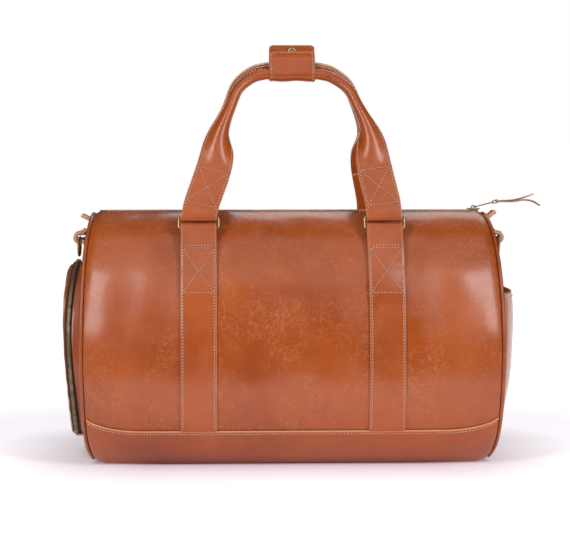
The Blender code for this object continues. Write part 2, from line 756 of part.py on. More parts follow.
def smooth_line(points, per_span=12):
    """A Catmull-Rom curve through points."""
    points = np.array(points)
    ends = np.vstack((2 * points[0] - points[1], points, 2 * points[-1] - points[-2]))
    line = []
    for a, b, c, d in zip(ends, ends[1:], ends[2:], ends[3:]):
        for t in np.arange(per_span) / per_span:
            line.append(
                0.5 * (2 * b + (c - a) * t + (2 * a - 5 * b + 4 * c - d) * t**2
                       + (3 * b - a - 3 * c + d) * t**3)
            )
    return np.array([*line, points[-1]])


def handle_line(depth):
    """The arch from the right ring to the left: distances, places and directions in its plane.

    Both legs sway to the right on their way up."""
    size = np.array((STRAP_SPREAD, handle_height(depth)))
    right = np.array(HANDLE_PATH_SHARES) * size
    left = right[::-1] * (-1, 1)
    line = smooth_line([*right, *left])
    line[:, 0] += HANDLE_SWAY * np.sin(HANDLE_SWAY_SHARE * math.pi * line[:, 1] / size[1])
    step = np.linalg.norm(np.diff(line, axis=0), axis=1)
    distance = np.concatenate(([0.0], np.cumsum(step)))
    run = np.gradient(line, distance, axis=0)
    return distance, line, run / np.linalg.norm(run, axis=1)[:, None]


TOP_SWAY = HANDLE_SWAY * math.sin(HANDLE_SWAY_SHARE * math.pi)
FLAP_LEAN = math.radians(FLAP_LEAN_DEG)
ROLL_TURN = math.pi / 2 + FLAP_LEAN
ROLL_RADIUS = (
    (HANDLE_TOP_WIDTH / 2 + (LEATHER / 2 * math.cos(FLAP_LEAN) + GAP) / math.sin(FLAP_LEAN))
    / (ROLL_TURN + 1 / math.tan(FLAP_LEAN))
)
ROLL_ARC = ROLL_RADIUS * ROLL_TURN
ROLL_OUTER = ROLL_RADIUS + LEATHER / 2
ARC_PARTS = 3


def folded_strip(fold, thickness):
    """The handle strip's cross-section, flat at fold 0 and closed to a teardrop at fold 1.

    It is symmetric about the line along which both edges rise."""
    bend = max(fold, GAP) * ROLL_TURN
    radius = ROLL_ARC / bend
    half_width = (HANDLE_WIDTH + fold * (HANDLE_TOP_WIDTH - HANDLE_WIDTH)) / 2
    lengths = [ROLL_ARC * n / ARC_PARTS for n in range(ARC_PARTS + 1)] + [half_width]
    inner, outer = [], []
    for length in lengths:
        turn = min(length, ROLL_ARC) / radius
        x = radius * math.sin(turn) + max(0.0, length - ROLL_ARC) * math.cos(bend)
        y = radius * (1 - math.cos(turn)) + max(0.0, length - ROLL_ARC) * math.sin(bend)
        away = Vector((-math.sin(turn), math.cos(turn))) * thickness / 2
        inner.append(Vector((x, y)) + away)
        outer.append(Vector((x, y)) - away)

    def mirrored(points):
        return [Vector((-p.x, p.y)) for p in points]

    return (
        mirrored(inner[::-1]) + inner[1:] + outer[::-1] + mirrored(outer[1:])
    )


def fold_at(distance, length):
    """How far the strip is folded at a distance from the nearer ring."""
    reach = min(distance, length - distance)
    share = min(1.0, max(0.0, (reach - FOLD_START) / (FOLD_END - FOLD_START)))
    return share * share * (3 - 2 * share)


def handle_station(depth, distance, line):
    """A point of the arch with its outward direction, as world vectors."""
    distances, places, runs = line
    x, up = (float(np.interp(distance, distances, values)) for values in places.T)
    run_x, run_up = (float(np.interp(distance, distances, values)) for values in runs.T)
    pivot, upward, _ = handle_frame(depth)
    place = pivot + x * ALONG + up * upward
    outward = (run_up * ALONG - run_x * upward).normalized()
    return place, outward


def build_handle(name, depth):
    """A leather strip looped round both upper ring bars, doubled and sewn above them, and folded
    lengthwise round a rope core over the top."""
    line = handle_line(depth)
    length = float(line[0][-1])
    pivot, upward, facing = handle_frame(depth)
    mesh = bmesh.new()
    rings = []
    for distance in spaced(HANDLE_LEG_START, length - HANDLE_LEG_START, HANDLE_STATIONS):
        place, outward = handle_station(depth, distance, line)
        fold = fold_at(distance, length)
        sewn = min(distance, length - distance) < HANDLE_SEWN_LENGTH
        turn = fold * math.radians(FLAP_TURN_DEG)
        ring = []
        for point in folded_strip(fold, 2 * LEATHER + GAP if sewn else LEATHER):
            up = point.y - fold * ROLL_RADIUS
            across = point.x * math.cos(turn) + up * math.sin(turn)
            front = point.x * math.sin(turn) - up * math.cos(turn)
            ring.append(mesh.verts.new(place + across * outward + front * facing))
        rings.append(ring)
    for ring, following in zip(rings, rings[1:]):
        for n in range(len(ring)):
            near = n - 1
            mesh.faces.new((ring[near], ring[n], following[n], following[near]))
    half = len(rings[0]) // 2
    for ring in (rings[0], rings[-1]):
        for n in range(half - 1):
            mesh.faces.new((ring[n], ring[n + 1], ring[-n - 2], ring[-n - 1]))
    bmesh.ops.recalc_face_normals(mesh, faces=mesh.faces)
    data = bpy.data.meshes.new(name)
    mesh.to_mesh(data)
    mesh.free()
    handle = add_object(name, data, LEATHER_LOOK)
    smooth(handle)
    set_origin(handle, pivot)
    join(handle, [handle_loop(name, depth, side) for side in (-1, 1)])
    start, stop = FOLD_END, length - FOLD_END
    points = []
    for distance in spaced(start, stop, HANDLE_STATIONS // 2):
        points.append(handle_station(depth, distance, line)[0])
    inside = (ROLL_RADIUS - LEATHER / 2) * math.cos(ROLL_TURN / ARC_PARTS / 2)
    core = tube(name + "_core", points, inside - CORE_CLEAR, ROPE_LOOK)
    set_origin(core, pivot)


def handle_loop(name, depth, side):
    """The loop at a handle's end, round the ring's upper bar."""
    pivot, upward, facing = handle_frame(depth)
    bore = RING_WIRE / 2 + RUN_CLEAR
    radius = bore + STRAP_LAYER
    neck = LEATHER + GAP / 2
    top = HANDLE_LEG_START + LEATHER
    nose = circle((0.0, 0.0), radius, HALF_TURN_POINTS, math.pi, math.pi, closed=False)
    outline = [*nose, (neck, top), (-neck, top)]
    middle = pivot + side * STRAP_SPREAD * ALONG
    frame = turned(facing, upward, middle)
    part = f"{name}_loop_{side}"
    outlines = [outline, circle((0.0, 0.0), bore)]
    return as_mesh(plate(part, outlines, HANDLE_WIDTH, frame, LEATHER_LOOK, HELPERS))


def roll_middle(depth):
    """The middle of a handle's roll at the top of its arch, as (y, z)."""
    pivot, upward, _ = handle_frame(depth)
    top = pivot + handle_height(depth) * upward
    return Vector((top.y, top.z))


def wrap_lines():
    """Middle lines of the wrap's back part and of its flap, as (y, z), from the top down.

    Both stand together over the rolls; the back part rounds the back roll and passes under it,
    and the flap rounds the front roll from below."""
    front, back = roll_middle(1), roll_middle(-1)
    reach = ROLL_OUTER + WRAP_CLEAR + WRAP_LEATHER / 2
    apart = SNAP_THICKNESS + GAP + WRAP_LEATHER / 2
    join_z = front.y + WRAP_JOIN_HEIGHT
    meet = (front + back) / 2
    flap = [(meet.x - apart, front.y + FLAP_TOP_HEIGHT), (meet.x - apart, join_z)]
    start, sweep = math.radians(FLAP_ARC_START_DEG), math.radians(FLAP_ARC_SWEEP_DEG)
    flap += circle(tuple(front), reach, WRAP_ARC_POINTS, start, sweep, False)
    over = join_z + WRAP_LEATHER
    behind = [(meet.x + apart, front.y + BACK_TOP_HEIGHT), (meet.x + apart, over)]
    start, sweep = math.radians(BACK_ARC_START_DEG), math.radians(BACK_ARC_SWEEP_DEG)
    behind += circle(tuple(back), reach, WRAP_ARC_POINTS, start, sweep, False)
    crease = Vector(flap[-1])
    last = Vector(behind[-1])
    behind.append(tuple(crease + (last - crease).normalized() * (WRAP_LEATHER + GAP)))
    return flap, behind


def build_wrap():
    """The wrap on the back handle, its flap over the front handle, and the snap between them."""
    flap, behind = wrap_lines()
    frame = turned((0, 1, 0), UP, (TOP_SWAY, 0.0, 0.0))
    plate("handle_wrap_flap", [band(flap, WRAP_LEATHER)], WRAP_LENGTH, frame, LEATHER_LOOK)
    plate("handle_wrap_back", [band(behind, WRAP_LEATHER)], WRAP_LENGTH, frame, LEATHER_LOOK)
    middle_y = (flap[0][0] + behind[0][0]) / 2
    middle_z = roll_middle(1).y + SNAP_HEIGHT
    for name, side in (("stud", -1), ("socket", 1)):
        y = middle_y + side * (GAP + SNAP_THICKNESS) / 2
        disc = circle((0.0, 0.0), SNAP_RADIUS, 2 * (HALF_TURN_POINTS - 1))
        frame = turned(ALONG, UP, (TOP_SWAY, y, middle_z))
        plate("snap_" + name, [disc], SNAP_THICKNESS - GAP, frame, BRASS_LOOK)


def pocket_place(turn, out, x):
    """A point round the shoe pocket's drum: turn from the top, out from its axis, x from the
    bag's middle toward the left."""
    return Vector((-x, out * math.sin(turn), POCKET_MIDDLE + out * math.cos(turn)))


POCKET_SWEEP = POCKET_TEETH * POCKET_PITCH / POCKET_RADIUS
POCKET_ROW_WIDTH = ZIP_ROW_WIDTH / 2


def build_pocket_zip():
    """The tapes and tooth rows round the shoe pocket's drum, and the leather strip between their
    ends on which the pocket folds open."""
    row_inner = ZIP_TOOTH_REACH + GAP
    tape_edge = row_inner + POCKET_ROW_WIDTH / 2
    tooth = POCKET_PITCH / 2 - GAP

    def drum_point(turn, out, x):
        wall = end_face_x(out * math.sin(turn), POCKET_MIDDLE + out * math.cos(turn)) + GAP
        return pocket_place(turn, out, max(x, wall))

    def tape(near, far):
        def place(a, b):
            turn = (a - 0.5) * POCKET_SWEEP
            return drum_point(turn, POCKET_RADIUS, near + b * (far - near))
        return place

    def row(side, shift):
        def place(a, b):
            column = round(a * 2 * POCKET_TEETH)
            along = (column // 2) * POCKET_PITCH + (column % 2) * tooth + shift
            turn = along / POCKET_RADIUS - POCKET_SWEEP / 2
            across = (row_inner + POCKET_ROW_WIDTH, row_inner, -ZIP_TOOTH_REACH)[round(2 * b)]
            out = POCKET_RADIUS + GAP + ZIP_TOOTH_HEIGHT
            return pocket_place(turn, out, POCKET_ZIP_X + side * across)
        return place

    def space(a, b):
        return b > 0.5 and int(a * 2 * POCKET_TEETH) % 2 == 1

    wall = POCKET_ZIP_X - POCKET_TAPE_ROOT
    steps = POCKET_TEETH
    zips = (("inner", -1, wall, 0.0), ("outer", 1, POCKET_ZIP_X + POCKET_TAPE_REACH, tooth + GAP))
    for name, side, edge, shift in zips:
        near, far = sorted((edge, POCKET_ZIP_X + side * tape_edge))
        sheet("pocket_zip_tape_" + name, steps, 1, tape(near, far), TAPE_CLOTH, TAPE_LOOK)
        teeth = "pocket_zip_teeth_" + name
        columns = 2 * POCKET_TEETH
        sheet(teeth, columns, 2, row(side, shift), ZIP_TOOTH_HEIGHT, BRASS_LOOK, drop=space)

    def strip(a, b):
        rest = 2 * math.pi - POCKET_SWEEP - 2 * POCKET_PITCH / POCKET_RADIUS
        turn = math.pi + (a - 0.5) * rest
        near, far = wall, POCKET_ZIP_X + POCKET_TAPE_REACH - LEATHER
        return drum_point(turn, POCKET_RADIUS, near + b * (far - near))

    sheet("shoe_pocket_hinge_strip", 6, 1, strip, LEATHER, LEATHER_LOOK)


def build_shoe_pocket_panel():
    """The shoe pocket's outer panel, fullest above its middle."""
    edge_x = POCKET_ZIP_X + POCKET_TAPE_REACH + GAP
    edge = POCKET_RADIUS - TAPE_CLOTH - GAP

    def place(a, b):
        out, turn = on_disc(a, b)
        across, up = out * math.sin(turn), out * math.cos(turn)
        low, high = 1 + up, max(0.0, 1 - up)
        full = low**POCKET_BULGE_LOW_POWER * high**POCKET_BULGE_HIGH_POWER / POCKET_BULGE_PEAK
        half = math.sqrt(max(1e-6, 1 - up * up))
        side = max(0.0, 1 - (across / half) ** 2) ** POCKET_BULGE_SIDE_POWER
        x = edge_x + POCKET_BULGE * full * side
        return Vector((-x, edge * across, POCKET_MIDDLE + edge * up))

    sheet("shoe_pocket_panel", POCKET_CELLS, POCKET_CELLS, place, LEATHER, LEATHER_LOOK)


def build_pocket_slider():
    """The shoe pocket's slider at its closed end, low on the back, with its pull hanging."""
    turn = POCKET_SWEEP / 2 - SLIDER_LENGTH / POCKET_RADIUS
    seat = pocket_place(turn, POCKET_RADIUS, POCKET_ZIP_X)
    out = Vector((0.0, math.sin(turn), math.cos(turn)))
    along = Vector((0.0, math.cos(turn), -math.sin(turn)))
    across = out.cross(along)
    frame = Matrix((along, across, out)).transposed().to_4x4()
    frame.translation = seat
    pivot = build_slider("pocket_zip_slider", frame, GAP + ZIP_TOOTH_HEIGHT)
    lift = Matrix.Rotation(-math.radians(PULL_REST_DEG), 4, "Y")
    turned_frame = frame.copy()
    turned_frame.translation = pivot
    build_pull("pocket_zip_pull", turned_frame @ lift)


def build_slip_pocket():
    """The open pocket on the right end, sewn along its bottom and sides."""

    def place(a, b):
        z = SLIP_BOTTOM + b * (SLIP_TOP - SLIP_BOTTOM)
        edge = distance_down_to(z)
        half = min(SLIP_HALF_WIDTH, section_at(edge)[0].length)
        across = 2 * a - 1
        foot = 1 - SLIP_CORNER_SHARE * (1 - b) ** SLIP_CORNER_POWER
        y = across * half * foot
        rise = math.sin(SLIP_MOUTH_SHARE * math.pi * b**SLIP_FULLNESS_POWER)
        full = rise * (1 - abs(across) ** 3)
        x = end_face_x(y, z) + GAP + LEATHER + SLIP_FOOT * b + SLIP_BULGE * full
        return Vector((x, y, z))

    sheet("slip_pocket", SLIP_CELLS, SLIP_CELLS, place, LEATHER, LEATHER_LOOK)


def build_strap_rings():
    """A folded leather tab on each end with a D-ring hanging in it."""
    bore = D_WIRE / 2 + RUN_CLEAR
    nose = bore + LEATHER
    seat = max(end_face_x(0.0, TAB_BOTTOM), end_face_x(0.0, TAB_TOP)) + GAP
    bar_x = end_face_x(0.0, D_BAR_HEIGHT) + D_BAR_OUT
    arc = D_WIDTH / 2
    for name, side in (("left", -1), ("right", 1)):
        middle = (bar_x, D_BAR_HEIGHT)
        round_end = circle(middle, nose, HALF_TURN_POINTS, -math.pi / 2, math.pi, False)
        outline = [(seat, TAB_BOTTOM), *round_end, (seat, TAB_TOP)]
        outlines = [outline, circle(middle, bore)]
        outlines = [[(side * x, z) for x, z in line] for line in outlines]
        frame = turned(ALONG, UP, (0.0, 0.0, 0.0))
        plate("strap_tab_" + name, outlines, TAB_WIDTH, frame, LEATHER_LOOK)
        points = []
        for n in range(D_STEPS + 1):
            turn = math.pi * n / D_STEPS
            points.append((0.0, arc * math.cos(turn), -D_DROP * math.sin(turn) ** D_ROUNDNESS))
        ring = tube("d_ring_" + name, points, D_WIRE / 2, BRASS_LOOK, closed=True)
        ring.location = (side * bar_x, 0.0, D_BAR_HEIGHT)


for leftover in list(bpy.data.objects):
    bpy.data.objects.remove(leftover)
BAG = new_collection("travel_bag")
HELPERS = new_collection("helper_shapes")

build_panels()
build_ends()
build_lining()
build_main_zip()
build_main_slider()
build_straps_and_rings()
build_handle("front_handle", 1)
build_handle("back_handle", -1)
build_wrap()
build_pocket_zip()
build_shoe_pocket_panel()
build_pocket_slider()
build_slip_pocket()
build_strap_rings()
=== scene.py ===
# %% [markdown]
# # A leather travel bag, dressed piece by piece
#
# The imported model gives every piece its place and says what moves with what. This lesson builds
# the looks round it: soft leather panels, straps with raw edges, thread, zips and antique brass.
# Everything is in metres. +X runs along the bag to the right, +Y to the back and +Z up.

import json
import math

import bmesh
import bpy
import numpy as np
from mathutils import Matrix, Vector

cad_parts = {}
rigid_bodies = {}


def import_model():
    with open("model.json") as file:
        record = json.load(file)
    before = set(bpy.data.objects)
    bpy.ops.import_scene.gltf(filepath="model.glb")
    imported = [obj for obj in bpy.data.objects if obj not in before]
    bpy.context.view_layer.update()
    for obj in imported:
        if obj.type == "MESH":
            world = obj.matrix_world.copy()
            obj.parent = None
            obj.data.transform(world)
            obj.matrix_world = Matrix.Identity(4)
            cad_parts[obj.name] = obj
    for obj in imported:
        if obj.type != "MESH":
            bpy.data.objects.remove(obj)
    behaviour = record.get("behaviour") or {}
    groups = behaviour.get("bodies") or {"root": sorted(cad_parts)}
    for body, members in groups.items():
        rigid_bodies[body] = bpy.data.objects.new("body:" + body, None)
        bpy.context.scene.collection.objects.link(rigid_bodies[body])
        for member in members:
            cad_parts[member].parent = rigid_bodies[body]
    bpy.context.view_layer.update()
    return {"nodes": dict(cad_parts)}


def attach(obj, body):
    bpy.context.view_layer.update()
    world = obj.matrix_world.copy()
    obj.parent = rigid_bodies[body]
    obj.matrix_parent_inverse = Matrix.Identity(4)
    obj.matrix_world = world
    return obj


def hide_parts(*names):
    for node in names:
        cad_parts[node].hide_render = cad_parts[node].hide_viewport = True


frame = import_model()

# %% [markdown]
# ## The camera
#
# A product photograph is taken from far away with a long lens, so that the bag's ends hardly
# shrink. The camera stands a little to the left and a little above the bag's middle, and looks at
# a point below the top of the body. Turns and rises are in degrees.

# %% Camera
CAMERA_TURN = -2.2
CAMERA_RISE = 3.2
CAMERA_DISTANCE = 2.40
FOCAL_LENGTH = 129.7
SENSOR_WIDTH = 36.0
FAR_LIMIT = 50.0
AIM = Vector((-0.0046, 0.0, 0.2140))


def aimed(made, turn, rise, distance, aim):
    """Stands a camera or a lamp at a turn and a rise in degrees, looking at a point."""
    turn, rise = math.radians(turn), math.radians(rise)
    way = Vector((math.sin(turn) * math.cos(rise), -math.cos(turn) * math.cos(rise), math.sin(rise)))
    made.location = Vector(aim) + distance * way
    made.rotation_euler = (-way).to_track_quat("-Z", "Y").to_euler()
    bpy.context.scene.collection.objects.link(made)
    return made


lens = bpy.data.cameras.new("photo_camera")
lens.lens = FOCAL_LENGTH
lens.sensor_width = SENSOR_WIDTH
lens.clip_end = FAR_LIMIT
camera = bpy.data.objects.new("photo_camera", lens)
aimed(camera, CAMERA_TURN, CAMERA_RISE, CAMERA_DISTANCE, AIM)
bpy.context.scene.camera = camera
bpy.context.scene.view_settings.view_transform = "Standard"
print("camera at", [round(c, 3) for c in camera.location])

# %% [markdown]
# ## Writing shader maths as Python
#
# A material is a graph of small steps. A class that wraps one socket and overloads + - * / lets
# the graph be written as ordinary expressions: numbers go through Math nodes, while colours and
# vectors go through Mix and Vector Math, because a Math node would turn a colour grey.

# %% A socket that knows arithmetic


class Look:
    """One output socket of a material's node tree."""

    def __init__(self, tree, socket):
        self.tree, self.socket = tree, socket

    def node(self, kind, settings=None, values=None, out=0):
        """Adds any node: its type, its settings, and the values or links of its sockets."""
        made = self.tree.nodes.new(kind)
        for name, value in (settings or {}).items():
            if name == "stops":
                ramp = made.color_ramp
                while len(ramp.elements) < len(value):
                    ramp.elements.new(0.5)
                for element, (place, colour) in zip(ramp.elements, value):
                    element.position = place
                    element.color = (*colour, 1.0)
            else:
                setattr(made, name, value)
        for key, value in (values or {}).items():
            slot = made.inputs[key]
            if isinstance(value, Look):
                self.tree.links.new(value.socket, slot)
            else:
                slot.default_value = value
        return Look(self.tree, made.outputs[out])

    def maths(self, operation, *values):
        return self.node("ShaderNodeMath", {"operation": operation}, dict(enumerate(values)))

    def vector(self, operation, *values, out=0):
        return self.node("ShaderNodeVectorMath", {"operation": operation}, dict(enumerate(values)), out)

    def __add__(self, other):
        return self.maths("ADD", self, other)

    __radd__ = __add__

    def __mul__(self, other):
        return self.maths("MULTIPLY", self, other)

    __rmul__ = __mul__

    def __sub__(self, other):
        return self.maths("SUBTRACT", self, other)

    def __rsub__(self, other):
        return self.maths("SUBTRACT", other, self)

    def __truediv__(self, other):
        return self.maths("DIVIDE", self, other)

    def __pow__(self, other):
        return self.maths("POWER", self, other)

    def above(self, low, high):
        """0 below low, 1 above high, and a straight slope between."""
        return self.node(
            "ShaderNodeMapRange", {"clamp": True}, {"Value": self, "From Min": low, "From Max": high}
        )

    def mix(self, first, second):
        """Two colours mixed by this value."""
        made = self.node("ShaderNodeMix", {"data_type": "RGBA"}, {0: self}, out=2)
        for index, colour in ((6, first), (7, second)):
            slot = made.socket.node.inputs[index]
            if isinstance(colour, Look):
                self.tree.links.new(colour.socket, slot)
            else:
                slot.default_value = (*colour, 1.0)
        return made

    def shift(self, vector, scale=1.0):
        """This vector moved by another, scaled."""
        return self.vector("MULTIPLY_ADD", vector, (scale, scale, scale), self)

    def stretch(self, *sizes):
        """This vector scaled along each axis."""
        return self.vector("MULTIPLY", self, sizes)


# %% [markdown]
# A finish starts with the piece's own coordinates, so the grain stays on the leather when a
# handle swings. Then noise, cells and fibres are measured per metre of leather.

# %% Starting a finish


def finish_of(name, metallic=0.0, **constants):
    """A new material: the place on the piece, and a function that plugs looks into the shader."""
    made = bpy.data.materials.new(name)
    made.use_nodes = True
    tree = made.node_tree
    shader = tree.nodes["Principled BSDF"]
    place = Look(tree, tree.nodes.new("ShaderNodeTexCoord").outputs["Object"])

    def plug(**looks):
        for key, look in looks.items():
            slot = shader.inputs[key.replace("_", " ")]
            if isinstance(look, Look):
                tree.links.new(look.socket, slot)
            else:
                slot.default_value = look

    plug(Metallic=metallic, **constants)
    return made, place, plug


def noise(place, scale, detail=3.0, rough=0.55, out=0):
    return place.node(
        "ShaderNodeTexNoise", {},
        {"Vector": place, "Scale": scale, "Detail": detail, "Roughness": rough}, out,
    )


def cells(place, scale, feature="DISTANCE_TO_EDGE"):
    return place.node(
        "ShaderNodeTexVoronoi", {"feature": feature}, {"Vector": place, "Scale": scale}
    )


def bump(height, distance, strength=1.0, normal=None):
    values = {"Height": height, "Distance": distance, "Strength": strength}
    if normal is not None:
        values["Normal"] = normal
    return height.node("ShaderNodeBump", {}, values)


def painted(place, name):
    """A number that the mesh carries on its points, such as how near an edge is."""
    return place.node("ShaderNodeAttribute", {"attribute_name": name}, {}, 2)


# %% [markdown]
# ## Leather
#
# This is waxed cowhide. Its colour is an orange brown that goes darker in clouds, and paler where
# the hide was pulled or creased, because the wax parts there. Fine pale veins wander over it in
# short strokes. The surface is glossy, with a grain far finer than a millimetre and shallow dents
# a few centimetres wide. Edges that are cut and left raw show pale fibre.

# %% Waxed leather
HIDE = (0.385, 0.074, 0.008)
HIDE_DARK = (0.290, 0.048, 0.005)
HIDE_PALE = (0.640, 0.245, 0.100)
HIDE_WORN = (0.455, 0.108, 0.018)
FIBRE_PALE = (0.82, 0.50, 0.33)
FIBRE_DARK = (0.46, 0.20, 0.10)
PORE_DEPTH = 0.00006
GRAIN_DEPTH = 0.00013
HAIR_DEPTH = 0.00014
RIPPLE_DEPTH = 0.00030


def hairlines(place, scale, width, *stretch):
    """Thin wandering lines, where a stretched noise passes through its middle value."""
    field = noise(place.stretch(*stretch), scale, 3.0, 0.6)
    return 1.0 - (field - 0.5).maths("ABSOLUTE", field - 0.5).above(0.0, width)


def toned(colour, tone):
    return [c * tone for c in colour]


def waxed_leather(name, tone=1.0, veins=1.0, gloss=0.25, dents=0.0008):
    """Waxed hide. veins is how strong the pale strokes are, and dents is their height in metres."""
    made, place, plug = finish_of(name, IOR=1.38, Coat_Weight=0.60, Coat_Roughness=0.18)
    drift = noise(place, 14.0, 3.0, out=1)
    bent = place.shift(drift, 0.030)
    clouds = noise(bent, 9.0, 4.0)
    mottle = noise(bent, 48.0, 5.0, 0.65)
    fibre = noise(bent.stretch(1.0, 1.0, 0.38), 230.0, 4.0, 0.7)
    patch = noise(bent, 22.0, 3.0).above(0.38, 0.64)
    hairs = hairlines(bent, 75.0, 0.016, 1.0, 1.0, 0.45) + hairlines(bent, 110.0, 0.018, 0.5, 0.5, 1.3)
    strokes = (fibre.above(0.54, 0.76) * 0.50 + hairs * 0.55) * patch
    base = clouds.above(0.34, 0.62).mix(toned(HIDE_DARK, tone), toned(HIDE, tone))
    base = (mottle.above(0.46, 0.80) * 0.40).mix(base, toned(HIDE_WORN, tone))
    base = (strokes * 0.45 * veins).mix(base, toned(HIDE_PALE, tone))
    base = (painted(place, "edge") * 0.75).mix(base, toned(HIDE_PALE, tone))
    rough = gloss + (mottle - 0.5) * 0.16 + strokes * 0.12
    pores = cells(bent, 1500.0).above(0.0, 0.5) * PORE_DEPTH
    grain = noise(bent.stretch(0.5, 1.0, 1.0), 600.0, 3.0) * GRAIN_DEPTH
    ripples = noise(bent.stretch(0.5, 0.5, 1.0), 130.0, 5.0) * RIPPLE_DEPTH
    wide = noise(bent, 26.0, 2.0) * dents + ripples
    height = pores + grain - hairs * patch * HAIR_DEPTH + wide
    plug(Base_Color=base, Roughness=rough, Normal=bump(height, 1.0))
    return made


def raw_edge(name, tone=1.0):
    """Cut leather: pale fibre with darker layers."""
    made, place, plug = finish_of(name)
    fibres = noise(place, 900.0, 4.0, 0.7)
    base = fibres.above(0.35, 0.70).mix(toned(FIBRE_DARK, tone), toned(FIBRE_PALE, tone))
    plug(Base_Color=base, Roughness=0.62 + fibres * 0.2, Normal=bump(fibres, 0.00025))
    return made


BODY_LEATHER = waxed_leather("body leather")
BASE_LEATHER = waxed_leather("base leather", veins=0.4, gloss=0.36, dents=0.0005)
STRAP_LEATHER = waxed_leather("strap leather", tone=1.05, veins=0.5, gloss=0.30, dents=0.0002)
HANDLE_LEATHER = waxed_leather("handle leather", tone=1.05, veins=0.45, gloss=0.30, dents=0.00015)
END_LEATHER = waxed_leather("end leather", veins=0.5, gloss=0.36)
PIPING_LEATHER = waxed_leather("piping leather", tone=0.9, veins=0.3, gloss=0.36, dents=0.0)
# The tabs are painted a quarter lighter than the body's leather: a painted highlight for the light their
# small curved faces catch.
TAB_LEATHER_PAINTED_HIGHLIGHT = waxed_leather("tab leather painted highlight", tone=1.25, veins=0.4, gloss=0.40, dents=0.0001)
LACE_LEATHER = raw_edge("lace leather", 0.62)
RAW_EDGE = raw_edge("raw edge")
DARK_EDGE = raw_edge("shaded edge", 0.6)
print("leathers:", [m.name for m in bpy.data.materials if "leather" in m.name])

# %% [markdown]
# ## Thread, tape, rope and lining
#
# The seams are sewn with a thick bonded thread, beige against the tan. Zip tape is a dark brown
# herringbone weave with a ribbed edge, and the handles are rolled round cotton rope.

# %% Thread and cloth


def twisted_thread(name, colour, shade):
    made, place, plug = finish_of(name)
    strands = noise(place, 1600.0, 2.0)
    base = strands.above(0.35, 0.65).mix(shade, colour)
    plug(Base_Color=base, Roughness=0.62 + strands * 0.15, Normal=bump(strands, 0.0001))
    return made


def woven(name, colour, shade, per_metre, height=0.00018):
    made, place, plug = finish_of(name)
    wave = place.node(
        "ShaderNodeTexWave", {"wave_type": "BANDS", "bands_direction": "DIAGONAL"},
        {"Vector": place, "Scale": per_metre, "Distortion": 0.6, "Detail": 1.0}, 1,
    )
    other = place.node(
        "ShaderNodeTexWave", {"wave_type": "BANDS", "bands_direction": "X"},
        {"Vector": place, "Scale": per_metre * 1.3, "Distortion": 0.3}, 1,
    )
    weave = wave * 0.6 + other * 0.4
    dust = noise(place, 60.0, 3.0)
    base = (weave * 0.7 + dust * 0.3).above(0.15, 0.85).mix(shade, colour)
    plug(Base_Color=base, Roughness=0.78 + dust * 0.15, Normal=bump(weave, height))
    return made


THREAD = twisted_thread("thread", (0.76, 0.47, 0.34), (0.48, 0.24, 0.15))
# Near-black colour for the holes the needle left beside each stitch: painted shade of those holes.
NEEDLE_HOLE_SHADE = twisted_thread("needle hole painted shade", (0.10, 0.022, 0.006), (0.05, 0.012, 0.004))
ZIP_TAPE = woven("zip tape", (0.075, 0.040, 0.030), (0.030, 0.015, 0.012), 180.0)
LINING_CLOTH = woven("lining cloth", (0.42, 0.32, 0.22), (0.26, 0.19, 0.12), 220.0)
ROPE = woven("cotton rope", (0.66, 0.58, 0.44), (0.40, 0.33, 0.22), 90.0, 0.0004)


def pressed_board(name):
    made, place, plug = finish_of(name)
    flakes = noise(place, 240.0, 4.0, 0.7)
    base = flakes.above(0.3, 0.7).mix((0.060, 0.045, 0.034), (0.15, 0.115, 0.085))
    plug(Base_Color=base, Roughness=0.7 + flakes * 0.2, Normal=bump(flakes, 0.0002))
    return made


BOARD = pressed_board("pressed board")
print("cloths:", [m.name for m in (THREAD, ZIP_TAPE, LINING_CLOTH, ROPE, BOARD)])

# %% [markdown]
# ## Antique brass
#
# The rings, sliders and teeth are brass darkened in a bath and polished back, so the high places
# are bright yellow and the hollows stay brown. Pointiness would do this in one node, but the
# export can't read it, so noise at two scales stands for the rubbing.

# %% Brass


def brass(name, bright, dark, gloss=0.26):
    made, place, plug = finish_of(name, metallic=1.0)
    clouds = noise(place, 130.0, 4.0, 0.6)
    specks = noise(place, 1100.0, 3.0, 0.7)
    scratches = noise(place.stretch(1.0, 0.2, 1.0), 1900.0, 2.0)
    tarnish = (clouds * 0.65 + specks * 0.35).above(0.42, 0.66)
    base = tarnish.mix(bright, dark)
    rough = gloss + tarnish * 0.22 + scratches * 0.08
    plug(Base_Color=base, Roughness=rough, Normal=bump(scratches + specks, 0.00003))
    return made


OLD_BRASS = brass("antique brass", (0.44, 0.31, 0.135), (0.20, 0.13, 0.06))
TEETH_BRASS = brass("zip teeth brass", (0.50, 0.38, 0.20), (0.20, 0.135, 0.07), 0.32)
SNAP_BRASS = brass("snap brass", (0.72, 0.55, 0.28), (0.40, 0.28, 0.13), 0.20)
print("metals:", [m.name for m in (OLD_BRASS, TEETH_BRASS, SNAP_BRASS)])

# %% [markdown]
# ## The shape of the body
#
# The bag is a barrel: a rounded section drawn along its length, flat at the base. The same two
# curves that shaped the solids are written again here, so that the finer leather lies where the
# solid is. A place on the leather is given by its share of the length, its distance from the zip
# down the front (or, with a minus sign, down the back) and how far out it stands.

